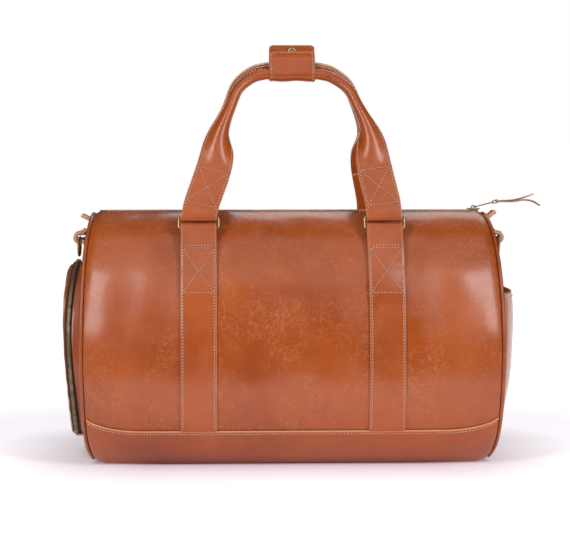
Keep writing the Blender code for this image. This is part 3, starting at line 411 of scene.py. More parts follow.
# %% Section of the body
LEATHER = 0.0022
STRAP_LAYER = 0.0030
TAPE_CLOTH = 0.0008
GAP = 0.0003
RUN_CLEAR = 0.0004
LAP_CLEAR = 0.0006
SEAM_LAP = 0.012
HALF_LENGTH = 0.2335
HALF_DEPTH = 0.130
WIDEST_HEIGHT = 0.120
UPPER_RISE = 0.165
FLAT_CUT = 0.0175
UPPER_ROUNDNESS = 2.05
LOWER_ROUNDNESS = 2.6
CORNER_START_SHARE = 0.955
CORNER_DRAW_SHARE = 0.022
SIDE_START_SHARE = 0.45
SIDE_DRAW_SHARE = 0.045
RIM_START_SHARE = 0.80
RIM_DRAW_SHARE = 0.020
RIM_PULL = 0.006
RIM_MIDDLE = 0.140
RIM_TOP_CORNER = (0.003, 8)
RIM_LOW_CORNER = (0.010, 12)
BASE_SEAM_HEIGHT = 0.042
BASE_TOP = LEATHER + LAP_CLEAR
LOWER_REACH = WIDEST_HEIGHT - BASE_TOP + FLAT_CUT


def travelled(points):
    """How far along a line each of its points is."""
    step = np.linalg.norm(np.diff(points, axis=0), axis=1)
    return np.concatenate(([0.0], np.cumsum(step)))


def between(at, known, rows):
    """Rows of numbers at places between those where they are known."""
    return np.stack([np.interp(at, known, column) for column in rows.T], -1)


def unit(vectors):
    """Vectors with length 1."""
    return vectors / np.maximum(np.linalg.norm(vectors, axis=-1)[..., None], 1e-12)


def eased(share):
    """A share of the way that starts and ends gently."""
    share = np.clip(share, 0.0, 1.0)
    return share * share * (3 - 2 * share)


def half_section():
    turn = np.linspace(math.pi / 2, -math.pi / 2, 2401)
    upper = turn >= 0
    power = 2 / np.where(upper, UPPER_ROUNDNESS, LOWER_ROUNDNESS)
    rise = np.where(upper, UPPER_RISE, LOWER_REACH)
    out = HALF_DEPTH * np.abs(np.cos(turn)) ** power
    up = WIDEST_HEIGHT + rise * np.sign(turn) * np.abs(np.sin(turn)) ** power
    place = np.column_stack((out, np.maximum(up, BASE_TOP)))
    distance = travelled(place)
    kept = np.concatenate(([True], np.diff(distance) > 0))
    distance, place = distance[kept], place[kept]
    run = unit(np.gradient(place, distance, axis=0))
    return distance, place, np.column_stack((-run[:, 1], run[:, 0]))


DISTANCE, PLACE, OUTWARD = half_section()
HALF_ROUND = DISTANCE[-1]
FLAT_START = DISTANCE[np.argmax(PLACE[:, 1] <= BASE_TOP)]


def down_to(height):
    """How far from the zip line the section comes down to a height."""
    return float(np.interp(-height, -PLACE[:, 1], DISTANCE))


def section(around):
    """Place and outward direction in the section, as columns y and z."""
    around = np.asarray(around, float)
    side = np.where(around >= 0, -1.0, 1.0)
    reach = np.abs(around)
    over = reach > HALF_ROUND
    side = np.where(over, -side, side)
    reach = np.where(over, 2 * HALF_ROUND - reach, reach)
    y, z = np.moveaxis(between(reach, DISTANCE, PLACE), -1, 0)
    out_y, out_z = np.moveaxis(between(reach, DISTANCE, OUTWARD), -1, 0)
    return side * y, z, side * out_y, out_z


SEAM = down_to(BASE_SEAM_HEIGHT)


def drawn_in(along, start, share, power=2):
    """How much narrower the body is there: nothing up to start, then more toward the ends."""
    past = np.maximum(0.0, (np.abs(along) - start) / (1 - start))
    return 1 - share * past**power


def rim_x(height):
    """How far along the rim lies at a height: pulled in toward its top and bottom corners."""
    share = (np.asarray(height, float) - RIM_MIDDLE) / RIM_MIDDLE
    top = RIM_TOP_CORNER[0] * np.maximum(share, 0.0) ** RIM_TOP_CORNER[1]
    low = RIM_LOW_CORNER[0] * np.maximum(-share, 0.0) ** RIM_LOW_CORNER[1]
    return HALF_LENGTH - RIM_PULL * share**2 - top - low


print("round the body:", round(2 * HALF_ROUND, 3), "m; seam at", round(SEAM, 3), "m from the zip")

# %% [markdown]
# Real leather is never quite even. A few long waves, about a millimetre high at most, let the
# highlights wander as they do on the real bag. They die out at the seams, where the leather is
# held.

# %% Skin of the bag
SLACK_HEIGHT = 0.00050
HELD_AT_ZIP = 0.05
HELD_AT_SEAM = 0.06


def slack(along, around):
    """How far the leather stands out from its even shape."""
    waves = np.sin(9 * along + 31 * around + 0.6) + 0.8 * np.sin(-17 * along + 52 * around + 2.1)
    waves = waves + 0.6 * np.sin(33 * along + 12 * around + 4.0)
    reach = np.abs(around)
    held = np.clip(reach / HELD_AT_ZIP, 0, 1) * np.clip((SEAM - reach) / HELD_AT_SEAM, 0, 1)
    return SLACK_HEIGHT * waves * held * np.sqrt(np.clip(1 - along**2, 0, 1))


def skin(along, around, out=0.0):
    """Points of the body as rows x, y, z."""
    along, around, out = np.broadcast_arrays(
        np.asarray(along, float), np.asarray(around, float), np.asarray(out, float)
    )
    y, z, out_y, out_z = section(around)
    out = out + slack(along, around)
    y = (y + out * out_y) * drawn_in(along, SIDE_START_SHARE, SIDE_DRAW_SHARE)
    y = y * drawn_in(along, RIM_START_SHARE, RIM_DRAW_SHARE, 4)
    z = z + out * out_z
    z = WIDEST_HEIGHT + (z - WIDEST_HEIGHT) * drawn_in(along, CORNER_START_SHARE, CORNER_DRAW_SHARE)
    return np.stack((along * rim_x(z), y, z), axis=-1)


def skin_normal(along, around):
    """Outward directions of the body, by comparing near points."""
    step = 0.001
    run = skin(along + step, around) - skin(along - step, around)
    fall = skin(along, around + step) - skin(along, around - step)
    return unit(np.cross(run, fall))


test = skin_normal(np.array([0.0]), np.array([0.2]))[0]
TURNED_OUT = -1.0 if test[1] > 0 else 1.0
print("front of the bag faces", [round(float(v), 2) for v in TURNED_OUT * test])

# %% [markdown]
# ## Making a piece
#
# Every soft piece starts as a grid of points. Solidify gives it the leather's thickness and puts
# its cut sides in a second material slot, and a small bevel rounds those edges, so that they
# catch the light. The modifiers are applied, because the piece then has one final shape.

# %% Helpers for meshes
CUT_ANGLE = 60.0


def shaded(made, degrees=45.0):
    """Smooth, but with sharp edges where faces meet at a larger angle."""
    made.data.shade_smooth()
    made.data.set_sharp_from_angle(angle=math.radians(degrees))
    return made


def piece(name, points, faces, materials, body, slots=None, sharp=45.0):
    """An object from points and faces that rides on a body."""
    data = bpy.data.meshes.new(name)
    data.from_pydata([tuple(map(float, p)) for p in points], [], faces)
    data.validate()
    for made in materials:
        data.materials.append(made)
    if slots is not None:
        data.polygons.foreach_set("material_index", np.asarray(slots, np.int32))
    made = bpy.data.objects.new(name, data)
    bpy.context.scene.collection.objects.link(made)
    shaded(made, sharp)
    if body:
        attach(made, body)
    return made


def applied(made):
    """The object with its modifiers made part of its mesh."""
    bpy.context.view_layer.update()
    seen = made.evaluated_get(bpy.context.evaluated_depsgraph_get())
    data = bpy.data.meshes.new_from_object(seen)
    made.modifiers.clear()
    made.data = data
    return made


def grid_faces(rows, columns, wrap=False, flip=False):
    faces = []
    for r in range(rows - 1):
        for c in range(columns if wrap else columns - 1):
            a, b = r * columns + c, r * columns + (c + 1) % columns
            quad = (a, b, b + columns, a + columns)
            faces.append(quad[::-1] if flip else quad)
    return faces


def facing(points, faces, away_from):
    """The faces turned so that they look away from a point."""
    points = np.asarray(points)
    flow = 0.0
    for face in faces[:: max(1, len(faces) // 400)]:
        corner = points[list(face)]
        normal = np.cross(corner[1] - corner[0], corner[2] - corner[0])
        flow += float(normal @ (corner.mean(0) - away_from))
    return faces if flow > 0 else [face[::-1] for face in faces]


def paint(made, name, values):
    """Writes a number on each point for the finish to read."""
    layer = made.data.attributes.new(name, "FLOAT", "POINT")
    layer.data.foreach_set("value", np.asarray(values, np.float32))


def thickened(made, thickness, offset, bevel, edge, body):
    """A sheet with its wear painted on, its thickness, and rounded cut sides in a second material."""
    if edge is not None:
        paint(made, "edge", edge.reshape(-1))
    shell = made.modifiers.new("thickness", "SOLIDIFY")
    shell.thickness = thickness
    shell.offset = offset
    shell.use_even_offset = True
    shell.material_offset_rim = 1
    if bevel:
        soft = made.modifiers.new("soft edges", "BEVEL")
        soft.width = bevel
        soft.segments = 2
        soft.limit_method = "ANGLE"
        soft.angle_limit = math.radians(CUT_ANGLE)
    applied(made)
    shaded(made, CUT_ANGLE)
    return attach(made, body) if body else made


def leather_sheet(name, grid, thickness, materials, body, away_from=(0, 0, 0.14), edge=None,
                  bevel=0.0005):
    """A sheet of leather from the grid of its outer face."""
    points = grid.reshape(-1, 3)
    faces = facing(points, grid_faces(*grid.shape[:2]), np.array(away_from))
    made = piece(name, points, faces, materials, None)
    return thickened(made, thickness, -1, bevel, edge, body)


def strip_of_leather(name, grid, thickness, materials, body, edge=None, bevel=0.0006):
    """A strap from the grid of its middle layer."""
    made = piece(name, grid.reshape(-1, 3), grid_faces(*grid.shape[:2]), materials, None)
    return thickened(made, thickness, 0, bevel, edge, body)


def outward_faces(made, degrees):
    """Turns all faces of a closed mesh outward."""
    mesh = bmesh.new()
    mesh.from_mesh(made.data)
    bmesh.ops.recalc_face_normals(mesh, faces=mesh.faces)
    mesh.to_mesh(made.data)
    mesh.free()
    return shaded(made, degrees)


def from_curve(name, curve, degrees, body, place=None):
    """The mesh of a curve, which is removed afterwards."""
    helper = bpy.data.objects.new(name + "_line", curve)
    bpy.context.scene.collection.objects.link(helper)
    bpy.context.view_layer.update()
    seen = helper.evaluated_get(bpy.context.evaluated_depsgraph_get())
    made = bpy.data.objects.new(name, bpy.data.meshes.new_from_object(seen))
    bpy.data.objects.remove(helper)
    bpy.context.scene.collection.objects.link(made)
    if place is not None:
        made.data.transform(place)
    shaded(made, degrees)
    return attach(made, body) if body else made


# %% [markdown]
# ## Stitches
#
# Thread is what tells the eye how big a bag is. Each stitch is a short spindle that dives into the
# leather at both ends, with a small dark pit after it where the needle went through; the pit's
# near-black colour is painted shade of that hole. A seam is one mesh with all its stitches, laid
# along a line. The spindle is given as rings: where each ring is along the stitch, how thick it is
# and how high it lies.

# %% Sewing
STITCH_PITCH = 0.0035
STITCH_LENGTH = 0.0026
STITCH_RADIUS = 0.00055
HOLE_LENGTH = 0.0016
HOLE_WIDTH = 0.0012
HOLE_LIFT = 0.00006
HOLE_DEPTH = 0.0005
STITCH_SIDES = 6
SPINDLE = (
    (-0.50, 0.35, -0.90), (-0.34, 0.95, 0.25), (0.00, 1.00, 0.75),
    (0.34, 0.95, 0.25), (0.50, 0.35, -0.90),
)
stitch_count = 0


def along_line(points, pitch):
    """Evenly spread places on a line, with their directions and their places in the list."""
    points = np.asarray(points, float)
    distance = travelled(points)
    count = max(1, int(distance[-1] / pitch))
    start = (distance[-1] - (count - 1) * pitch) / 2
    at = start + pitch * np.arange(count)
    run = between(at + pitch / 4, distance, points) - between(at - pitch / 4, distance, points)
    return between(at, distance, points), unit(run), np.interp(at, distance, np.arange(len(points)))


def sew(name, lines, body, slant=0.12, size=1.0, pitch=STITCH_PITCH):
    """Stitches along lines. Each line is its points and the leather's outward directions."""
    global stitch_count
    steps, thick, lift = np.array(SPINDLE).T
    thick = thick * STITCH_RADIUS * size
    lift = lift * STITCH_RADIUS * size
    sides = STITCH_SIDES
    turns = 2 * math.pi * np.arange(sides) / sides
    length = STITCH_LENGTH * pitch / STITCH_PITCH
    points, faces, slots = [], [], []
    rim = len(steps) * sides
    tip = rim + sides
    pattern = grid_faces(len(steps), sides, wrap=True)
    pattern += [tuple(range(sides))[::-1], tuple(range(rim - sides, rim))]
    spindle_faces = len(pattern)
    pattern += [tuple(range(rim, tip))[::-1]]
    pattern += [(rim + k, rim + (k + 1) % sides, tip) for k in range(sides)]
    hole = np.column_stack((np.cos(turns) * HOLE_LENGTH / 2, np.sin(turns) * HOLE_WIDTH / 2)) * size
    for line, normals in lines:
        place, run, index = along_line(line, pitch)
        side = unit(np.cross(run, between(index, np.arange(len(normals)), normals)))
        out = np.cross(side, run)
        run = run + slant * side
        first = len(points)
        rings = (
            place[:, None, None]
            + length * steps[None, :, None, None] * run[:, None, None]
            + lift[None, :, None, None] * out[:, None, None]
            + thick[None, :, None, None] * (
                np.cos(turns)[None, None, :, None] * side[:, None, None]
                + np.sin(turns)[None, None, :, None] * out[:, None, None]
            )
        ).reshape(len(place), -1, 3)
        # Dark discs where the needle went through: painted shade of the holes.
        holes = (
            (place + pitch / 2 * run + HOLE_LIFT * out)[:, None]
            + hole[None, :, :1] * run[:, None] + hole[None, :, 1:] * side[:, None]
        )
        tips = (place + pitch / 2 * run - HOLE_DEPTH * out)[:, None]
        points += list(np.concatenate((rings, holes, tips), axis=1).reshape(-1, 3))
        for n in range(len(place)):
            base = first + n * (tip + 1)
            faces += [tuple(base + v for v in face) for face in pattern]
            slots += [0] * spindle_faces + [1] * (len(pattern) - spindle_faces)
        stitch_count += len(place)
    piece(name, points, faces, [THREAD, NEEDLE_HOLE_SHADE], body, slots, sharp=80)
    print(name, "has", len(faces) // len(pattern), "stitches")


# %% [markdown]
# ## Front, back and base panels
#
# The front and the back are one piece of leather each, from the zip to the base. The base panel
# laps over both, with its cut edge showing as a pale line and one row of stitches below it. Near
# the ends the seam is pulled up a little, because the leather there has to turn in two directions
# at once.

# %% Panels
ZIP_OPENING_HALF = 0.009
SEAM_RISE = 0.0130
SEAM_RISE_START = 0.72
SEAM_STITCH_BELOW = 0.0032
ZIP_STITCH_BESIDE = 0.0030
FINE_ROWS_END = 0.020
LIP_RUN = 0.004
LIP_WEAR = 0.6
BEND_CLEAR = 0.004


def seam_at(along):
    """Where the base panel's edge runs: a little higher at the ends."""
    past = np.clip((np.abs(along) - SEAM_RISE_START) / (1 - SEAM_RISE_START), 0, 1)
    return SEAM - SEAM_RISE * past**2.4


def length_shares(count):
    """Shares of the length, from -1 to 1, closer together near the ends."""
    even = np.linspace(-1, 1, count)
    return np.sin(even * math.pi / 2) * 0.45 + even * 0.55


alongs = length_shares(121)
front_rows = np.concatenate((
    np.linspace(ZIP_OPENING_HALF, FINE_ROWS_END, 5)[:-1],
    np.linspace(FINE_ROWS_END, SEAM + SEAM_LAP, 84),
))
for face, sign in (("front", 1), ("back", -1)):
    grid = skin(alongs[None, :], sign * front_rows[:, None])
    lip = np.clip(1 - (front_rows - ZIP_OPENING_HALF) / LIP_RUN, 0, 1)[:, None]
    edge = np.repeat(lip, len(alongs), axis=1) * LIP_WEAR
    made = leather_sheet(face + "_leather", grid, LEATHER, [BODY_LEATHER, DARK_EDGE], "bag", edge=edge)
    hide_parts(face + "_panel")

share = np.linspace(0, 1, 26)
bend_end = FLAT_START + BEND_CLEAR
corner = seam_at(alongs)[None, :] * (1 - share[:, None]) + bend_end * share[:, None]
flat_start = FLAT_START + 2 * BEND_CLEAR
flat = np.linspace(flat_start, 2 * HALF_ROUND - flat_start, 14)
flat = np.repeat(flat[:, None], len(alongs), axis=1)
whole = np.concatenate((corner, flat, 2 * HALF_ROUND - corner[::-1]))
grid = skin(np.repeat(alongs[None, :], len(whole), axis=0), whole, BASE_TOP)
edge = np.zeros(whole.shape)
edge[0] = edge[-1] = 1.0
made = leather_sheet(
    "base_leather", grid, LEATHER, [BASE_LEATHER, RAW_EDGE], "bag", edge=edge, bevel=0.0009)
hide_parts("base_panel")
print("base panel reaches", [round(float(v), 3) for v in grid.reshape(-1, 3).min(0)])

# %% Seams of the panels


def both_sides(alongs, around, out):
    """A line of stitches on the front and the same line on the back."""
    return [
        (skin(alongs, spots, out), TURNED_OUT * skin_normal(alongs, spots))
        for spots in (around, -around)
    ]


line_alongs = np.linspace(-0.992, 0.992, 240)
below_seam = seam_at(line_alongs) + SEAM_STITCH_BELOW
sew("base_seam_thread", both_sides(line_alongs, below_seam, BASE_TOP), "bag")
zip_alongs = np.linspace(-0.945, 0.945, 240)
beside_zip = np.full(len(zip_alongs), ZIP_OPENING_HALF + ZIP_STITCH_BESIDE)
sew("main_zip_thread", both_sides(zip_alongs, beside_zip, 0.0), "bag")

# %% [markdown]
# ## Ends and piping
#
# Each end is a disc, slightly domed, joined to the body by a seam with a piping: a thin cord in a
# strip of leather. The piping hides the join and stiffens the rim.

# %% End panels
PIPING_RADIUS = 0.0022
PIPING_SINK = 0.0010
END_DOME = 0.003
END_WAVE = 0.0006
END_TUCK = 0.0012


def end_face_x(y, z):
    """How far out the end's leather lies, domed a little toward its middle."""
    across = (y / (HALF_DEPTH * (1 - SIDE_DRAW_SHARE))) ** 2
    up = ((z - RIM_MIDDLE) / (UPPER_RISE + WIDEST_HEIGHT - RIM_MIDDLE)) ** 2
    return rim_x(z) + GAP + PIPING_RADIUS + LEATHER / 2 + END_DOME * np.maximum(0, 1 - across - up)


def on_disc(count):
    """A square grid bent to a disc: how far out and the turn from the top of each point."""
    a, b = np.meshgrid(np.linspace(-1, 1, count), np.linspace(-1, 1, count))
    return np.maximum(np.abs(a), np.abs(b)), np.arctan2(a, b)


PIPING_LINES = {}
for name, side in (("left", -1), ("right", 1)):
    out, turn = on_disc(57)
    rim = skin(1.0, turn / math.pi * HALF_ROUND, -PIPING_SINK - PIPING_RADIUS - GAP / 2)
    y = out * rim[..., 1]
    z = RIM_MIDDLE + out * (rim[..., 2] - RIM_MIDDLE)
    sag = END_WAVE * np.sin(31 * y + 17 * z) * np.sin(43 * z - 12 * y + 1.0) * (1 - out**4)
    x = end_face_x(y, z) + sag - END_TUCK * np.clip((out - 0.93) / 0.07, 0, 1) ** 2
    made = leather_sheet(
        name + "_end_leather", np.stack((side * x, y, z), -1), LEATHER, [END_LEATHER, DARK_EDGE],
        "bag", bevel=0.0,
    )
    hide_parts(name + "_end_panel")
    name + "_end_panel"

    turns = np.linspace(-math.pi, math.pi, 241)[:-1]
    line = skin(1.0, turns / math.pi * HALF_ROUND, -PIPING_SINK)
    line[:, 0] = side * (line[:, 0] + GAP + PIPING_RADIUS)
    PIPING_LINES[name] = line
print("end discs made")

# %% [markdown]
# ## Measuring on a piece
#
# Stitches, worn edges and fittings lie on the leather, so it helps to ask a grid of points for its
# outward directions and for the place that is so many rows down and so many columns across.

# %% Helpers for grids


def normals_of(grid, outward, row=None):
    """Directions square to a grid's surface, on the side that a hint names in the middle of a row."""
    out = unit(np.cross(np.gradient(grid, axis=0), np.gradient(grid, axis=1)))
    first = out[out.shape[0] // 2 if row is None else row, out.shape[1] // 2]
    return out if float(first @ np.asarray(outward, float)) > 0 else -out


def on_grid(values, row, column):
    """Values between the grid's points, at rows and columns that needn't be whole."""
    row, column = np.broadcast_arrays(np.asarray(row, float), np.asarray(column, float))
    row = np.clip(row, 0, values.shape[0] - 1.000001)
    column = np.clip(column, 0, values.shape[1] - 1.000001)
    r, c = row.astype(int), column.astype(int)
    fr, fc = (row - r)[..., None], (column - c)[..., None]
    top = values[r, c] * (1 - fc) + values[r, c + 1] * fc
    low = values[r + 1, c] * (1 - fc) + values[r + 1, c + 1] * fc
    return top * (1 - fr) + low * fr


def seam_on(grid, normals, corners, lift, count=60):
    """A line of stitches through corners given as (row, share across from -1 to 1)."""
    corners = np.asarray(corners, float)
    steps = np.linspace(0, len(corners) - 1, count * (len(corners) - 1) + 1)
    row = np.interp(steps, np.arange(len(corners)), corners[:, 0])
    column = (np.interp(steps, np.arange(len(corners)), corners[:, 1]) + 1) / 2
    column = column * (grid.shape[1] - 1)
    out = on_grid(normals, row, column)
    return on_grid(grid, row, column) + lift * out, out


def crossed_box(grid, normals, low, high, share, lift):
    """The four lines of stitches that cross a strap between two rows: two straight, two slanting."""
    corners = [
        [(low, -share), (low, share)], [(high, -share), (high, share)],
        [(low, -share), (high, share)], [(low, share), (high, -share)],
    ]
    return [seam_on(grid, normals, ends, lift) for ends in corners]


def sheet_of(*columns):
    """A grid of points from its x, y and z, each given for rows, for columns or for both."""
    return np.stack(np.broadcast_arrays(*columns), -1)


def tube_along(name, points, radius, material, body, resolution):
    """A round bar along a closed line of points, as a mesh."""
    curve = bpy.data.curves.new(name, "CURVE")
    curve.dimensions = "3D"
    curve.bevel_depth = radius
    curve.bevel_resolution = resolution
    spline = curve.splines.new("POLY")
    spline.points.add(len(points) - 1)
    for point, spot in zip(spline.points, points):
        point.co = (*map(float, spot), 1.0)
    spline.use_cyclic_u = True
    curve.materials.append(material)
    return from_curve(name, curve, 45.0, body)


def slab(name, outlines, thickness, place, material, body, bevel):
    """A flat outline, with any holes after it, as a plate with rounded edges."""
    curve = bpy.data.curves.new(name, "CURVE")
    curve.dimensions = "2D"
    curve.fill_mode = "BOTH"
    curve.extrude = thickness / 2 - bevel
    curve.bevel_depth = bevel
    curve.bevel_resolution = 2
    curve.offset = -bevel
    for outline in outlines:
        spline = curve.splines.new("POLY")
        spline.points.add(len(outline) - 1)
        for point, (x, y) in zip(spline.points, outline):
            point.co = (float(x), float(y), 0.0, 1.0)
        spline.use_cyclic_u = True
    curve.materials.append(material)
    return from_curve(name, curve, 40.0, body, place)


def joined(name, parts, body):
    """Several meshes as one piece."""
    data = bpy.data.meshes.new(name)
    mesh = bmesh.new()
    materials = []
    for part in parts:
        first = len(mesh.faces)
        mesh.from_mesh(part.data)
        mesh.faces.ensure_lookup_table()
        for face in mesh.faces[first:]:
            finish = part.data.materials[face.material_index]
            if finish not in materials:
                materials.append(finish)
            face.material_index = materials.index(finish)
    mesh.to_mesh(data)
    mesh.free()
    for finish in materials:
        data.materials.append(finish)
    for part in parts:
        bpy.data.objects.remove(part)
    made = bpy.data.objects.new(name, data)
    bpy.context.scene.collection.objects.link(made)
    shaded(made, 40)
    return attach(made, body) if body else made


def arc(middle, radius, count, start, sweep):
    """Points on a circle, from one turn on through a sweep, in radians."""
    turns = start + sweep * np.linspace(0, 1, count)
    return np.column_stack((middle[0] + radius * np.cos(turns), middle[1] + radius * np.sin(turns)))


def mirrored(side):
    """A line and its mirror image, which comes back to where the line starts."""
    return [*side, *[(x, -y) for x, y in side[::-1]]]


def rounded_box(width, height, corner, steps):
    """The outline of a box with rounded corners, about its middle."""
    points = []
    for n, (x, y) in enumerate(((1, 1), (-1, 1), (-1, -1), (1, -1))):
        middle = (x * (width / 2 - corner), y * (height / 2 - corner))
        points += list(arc(middle, corner, steps, n * math.pi / 2, math.pi / 2))
    return points


def turned(across, up, point):
    """A frame at a point: its x along across, its y along up."""
    across, up = Vector(across).normalized(), Vector(up).normalized()
    made = Matrix((across, up, across.cross(up))).transposed().to_4x4()
    made.translation = Vector(point)
    return made


# %% Piping
for name, line in PIPING_LINES.items():
    made = tube_along(name + "_piping", line, PIPING_RADIUS, PIPING_LEATHER, "bag", 3)
    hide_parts(name + "_end_piping")
    name + "_end_piping"
    print(name, "piping:", len(made.data.vertices), "points")

# %% [markdown]
# ## The main zip
#
# A metal zip's teeth are stamped from brass: a foot clamped on the tape's cord, and a narrower
# head that fits between the heads across. The real pitch is about two and a third millimetres,
# which gives nearly two hundred teeth a side. All the teeth of a row are one mesh made by
# repeating a few points.

# %% Zip teeth
TOOTH_PITCH = 0.00235
TOOTH_HEIGHT = 0.0026
ROW_WIDTH = 0.0032
TOOTH_REACH = 0.0010
TOOTH_FILL = 0.66
TAPE_HALF_WIDTH = 0.0235
TOOTH_SHOULDER = 0.0007
TOOTH_LEVELS = ((0.0, 1.0), (0.72, 1.0), (1.0, 0.72))
ZIP_TOP = WIDEST_HEIGHT + UPPER_RISE
TAPE_OUT = -LEATHER - 2 * GAP
ROW_INNER = TOOTH_REACH + GAP
ROW_OUTER = ROW_INNER + ROW_WIDTH
ZIP_HALF_LENGTH = 0.2215


def tooth_shape():
    """One tooth: along the zip, across it from its head, and up from the tape."""
    half = TOOTH_PITCH / 2 * TOOTH_FILL
    right = [
        (half * 0.55, -TOOTH_REACH), (half * 0.95, -TOOTH_REACH * 0.3), (half * 0.62, ROW_INNER),
        (half, ROW_INNER + TOOTH_SHOULDER), (half, ROW_INNER + ROW_WIDTH * 0.55),
    ]
    left = [(-x, y) for x, y in right]
    outline = np.array([left[0], *right, *left[:0:-1]])
    middle = outline.mean(0)
    points = [
        (*(middle + (spot - middle) * size), up * TOOTH_HEIGHT)
        for up, size in TOOTH_LEVELS for spot in outline
    ]
    count = len(outline)
    faces = grid_faces(3, count, wrap=True)
    faces += [tuple(range(count))[::-1], tuple(range(2 * count, 3 * count))]
    return np.array(points), faces


def teeth(name, places, body, narrow=1.0):
    """Teeth at places, each given as (point, along, across, up)."""
    shape, pattern = tooth_shape()
    shape[:, 1] *= narrow
    points, faces = [], []
    for point, along, across, up in places:
        first = len(points)
        points += list(point + shape @ np.array((along, across, up)))
        faces += [tuple(first + v for v in face) for face in pattern]
    made = outward_faces(piece(name, points, faces, [TEETH_BRASS], body), 30)
    print(name, "has", len(places), "teeth")
    return made


ZIP_X = np.arange(-ZIP_HALF_LENGTH + TOOTH_PITCH, ZIP_HALF_LENGTH - TOOTH_PITCH, TOOTH_PITCH)
for face, side in (("front", -1), ("back", 1)):
    shift = TOOTH_PITCH / 2 if side > 0 else 0.0
    base = ZIP_TOP + TAPE_OUT + GAP
    across, along, up = np.array((0.0, side, 0.0)), np.array((1.0, 0, 0)), np.array((0, 0, 1.0))
    spots = [(np.array((x + shift, 0.0, base)), along, across, up) for x in ZIP_X]
    made = teeth("main_zip_" + face + "_teeth", spots, "bag")
    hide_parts("main_zip_teeth_" + face)

    rows = -side * np.linspace(ROW_INNER + ROW_WIDTH / 2, TAPE_HALF_WIDTH, 12)
    tape_alongs = np.linspace(-0.985, 0.985, 90)
    grid = skin(tape_alongs[None, :], rows[:, None], TAPE_OUT)
    made = leather_sheet(
        "main_zip_" + face + "_tape", grid, TAPE_CLOTH, [ZIP_TAPE, ZIP_TAPE], "bag", bevel=0.0)
    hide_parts("main_zip_tape_" + face)

# %% [markdown]
# Real sliders are cast in one piece: two plates joined by a post at the nose, with a bridge on top
# for the pull. The upper plate is shaped like a shield, wide where the two rows come in and narrow
# where they leave as one. The lower plate keeps its solid, and there is no post, because it would
# pass through teeth that stay closed.

# %% Sliders and pulls
SLIDER_LENGTH = 0.014
SLIDER_WALL = 0.0012
SLIDER_CLEAR = 0.0005
BRIDGE_HOLE = (0.0034, 0.0022)
BRIDGE_BAND = 0.0012
BRIDGE_WIDTH = 0.0024
BRIDGE_BEND = 0.0012
BRIDGE_FOOT = 0.0006
SHIELD_SHARES = ((-1.0, 0.86), (0.1, 1.0), (0.72, 0.93), (1.0, 0.70))
FLANGE_SHARES = ((0.7, 0.8), (0.5, 0.95), (-0.98, 0.95))
FLANGE_FOOT = (-0.98, 0.7)
PULL_THICKNESS = 0.0012
PULL_WIDTH = 0.0056
PULL_LENGTH = 0.026
PULL_SLOT = 0.0052
PULL_REST = math.radians(14.0)
PULL_WAIST = 0.82
PULL_FLARE = 1.02
PLATE_ROUND = 0.0004
SMALL_ROUND = 0.0003
MAIN_SLIDER_X = 0.2160
THONG = (0.0030, 0.0016)


def slider(name, place, body):
    """A zip slider on its rows of teeth. Returns the place of the pull's pivot."""
    wing = ROW_OUTER + SLIDER_CLEAR
    roof = GAP + TOOTH_HEIGHT + SLIDER_CLEAR
    outer = wing + SLIDER_WALL
    top = roof + SLIDER_WALL
    half = SLIDER_LENGTH / 2
    shield = mirrored([(half * x, outer * y) for x, y in SHIELD_SHARES])
    above = place @ Matrix.Translation((0, 0, roof + SLIDER_WALL / 2))
    parts = [slab(name + "_plate", [shield], SLIDER_WALL, above, OLD_BRASS, None, PLATE_ROUND)]
    flange = [(half * x, top * y) for x, y in FLANGE_SHARES]
    flange += [(half * x, SLIDER_CLEAR) for x in FLANGE_FOOT]

    def upright(label, outline, y, width):
        """A plate that stands along the slider, at a place across it."""
        lengthwise = place @ turned((1, 0, 0), (0, 0, 1), (0.0, y, 0.0))
        parts.append(slab(name + label, [outline], width, lengthwise, OLD_BRASS, None, SMALL_ROUND))

    for side in (-1, 1):
        upright("_flange", flange, side * (outer - SLIDER_WALL / 2), SLIDER_WALL)
    inside = BRIDGE_HOLE[0] / 2 + BRIDGE_BAND / 2
    high = top + BRIDGE_HOLE[1] + BRIDGE_BAND / 2
    line = np.array([
        (inside + BRIDGE_FOOT, top - BRIDGE_FOOT),
        *arc((inside - BRIDGE_BEND, high - BRIDGE_BEND), BRIDGE_BEND, 5, 0, 1.57),
        *arc((-inside + BRIDGE_BEND, high - BRIDGE_BEND), BRIDGE_BEND, 5, 1.57, 1.57),
        (-inside - BRIDGE_FOOT, top - BRIDGE_FOOT),
    ])
    steps = unit(np.gradient(line, axis=0))
    side = np.column_stack((-steps[:, 1], steps[:, 0])) * BRIDGE_BAND / 2
    upright("_bridge", [*(line + side), *(line - side)[::-1]], 0.0, BRIDGE_WIDTH)
    made = joined(name + "_body", parts, body)
    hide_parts(name)
    return place @ Vector((0.0, 0.0, top + BRIDGE_HOLE[1] / 2))


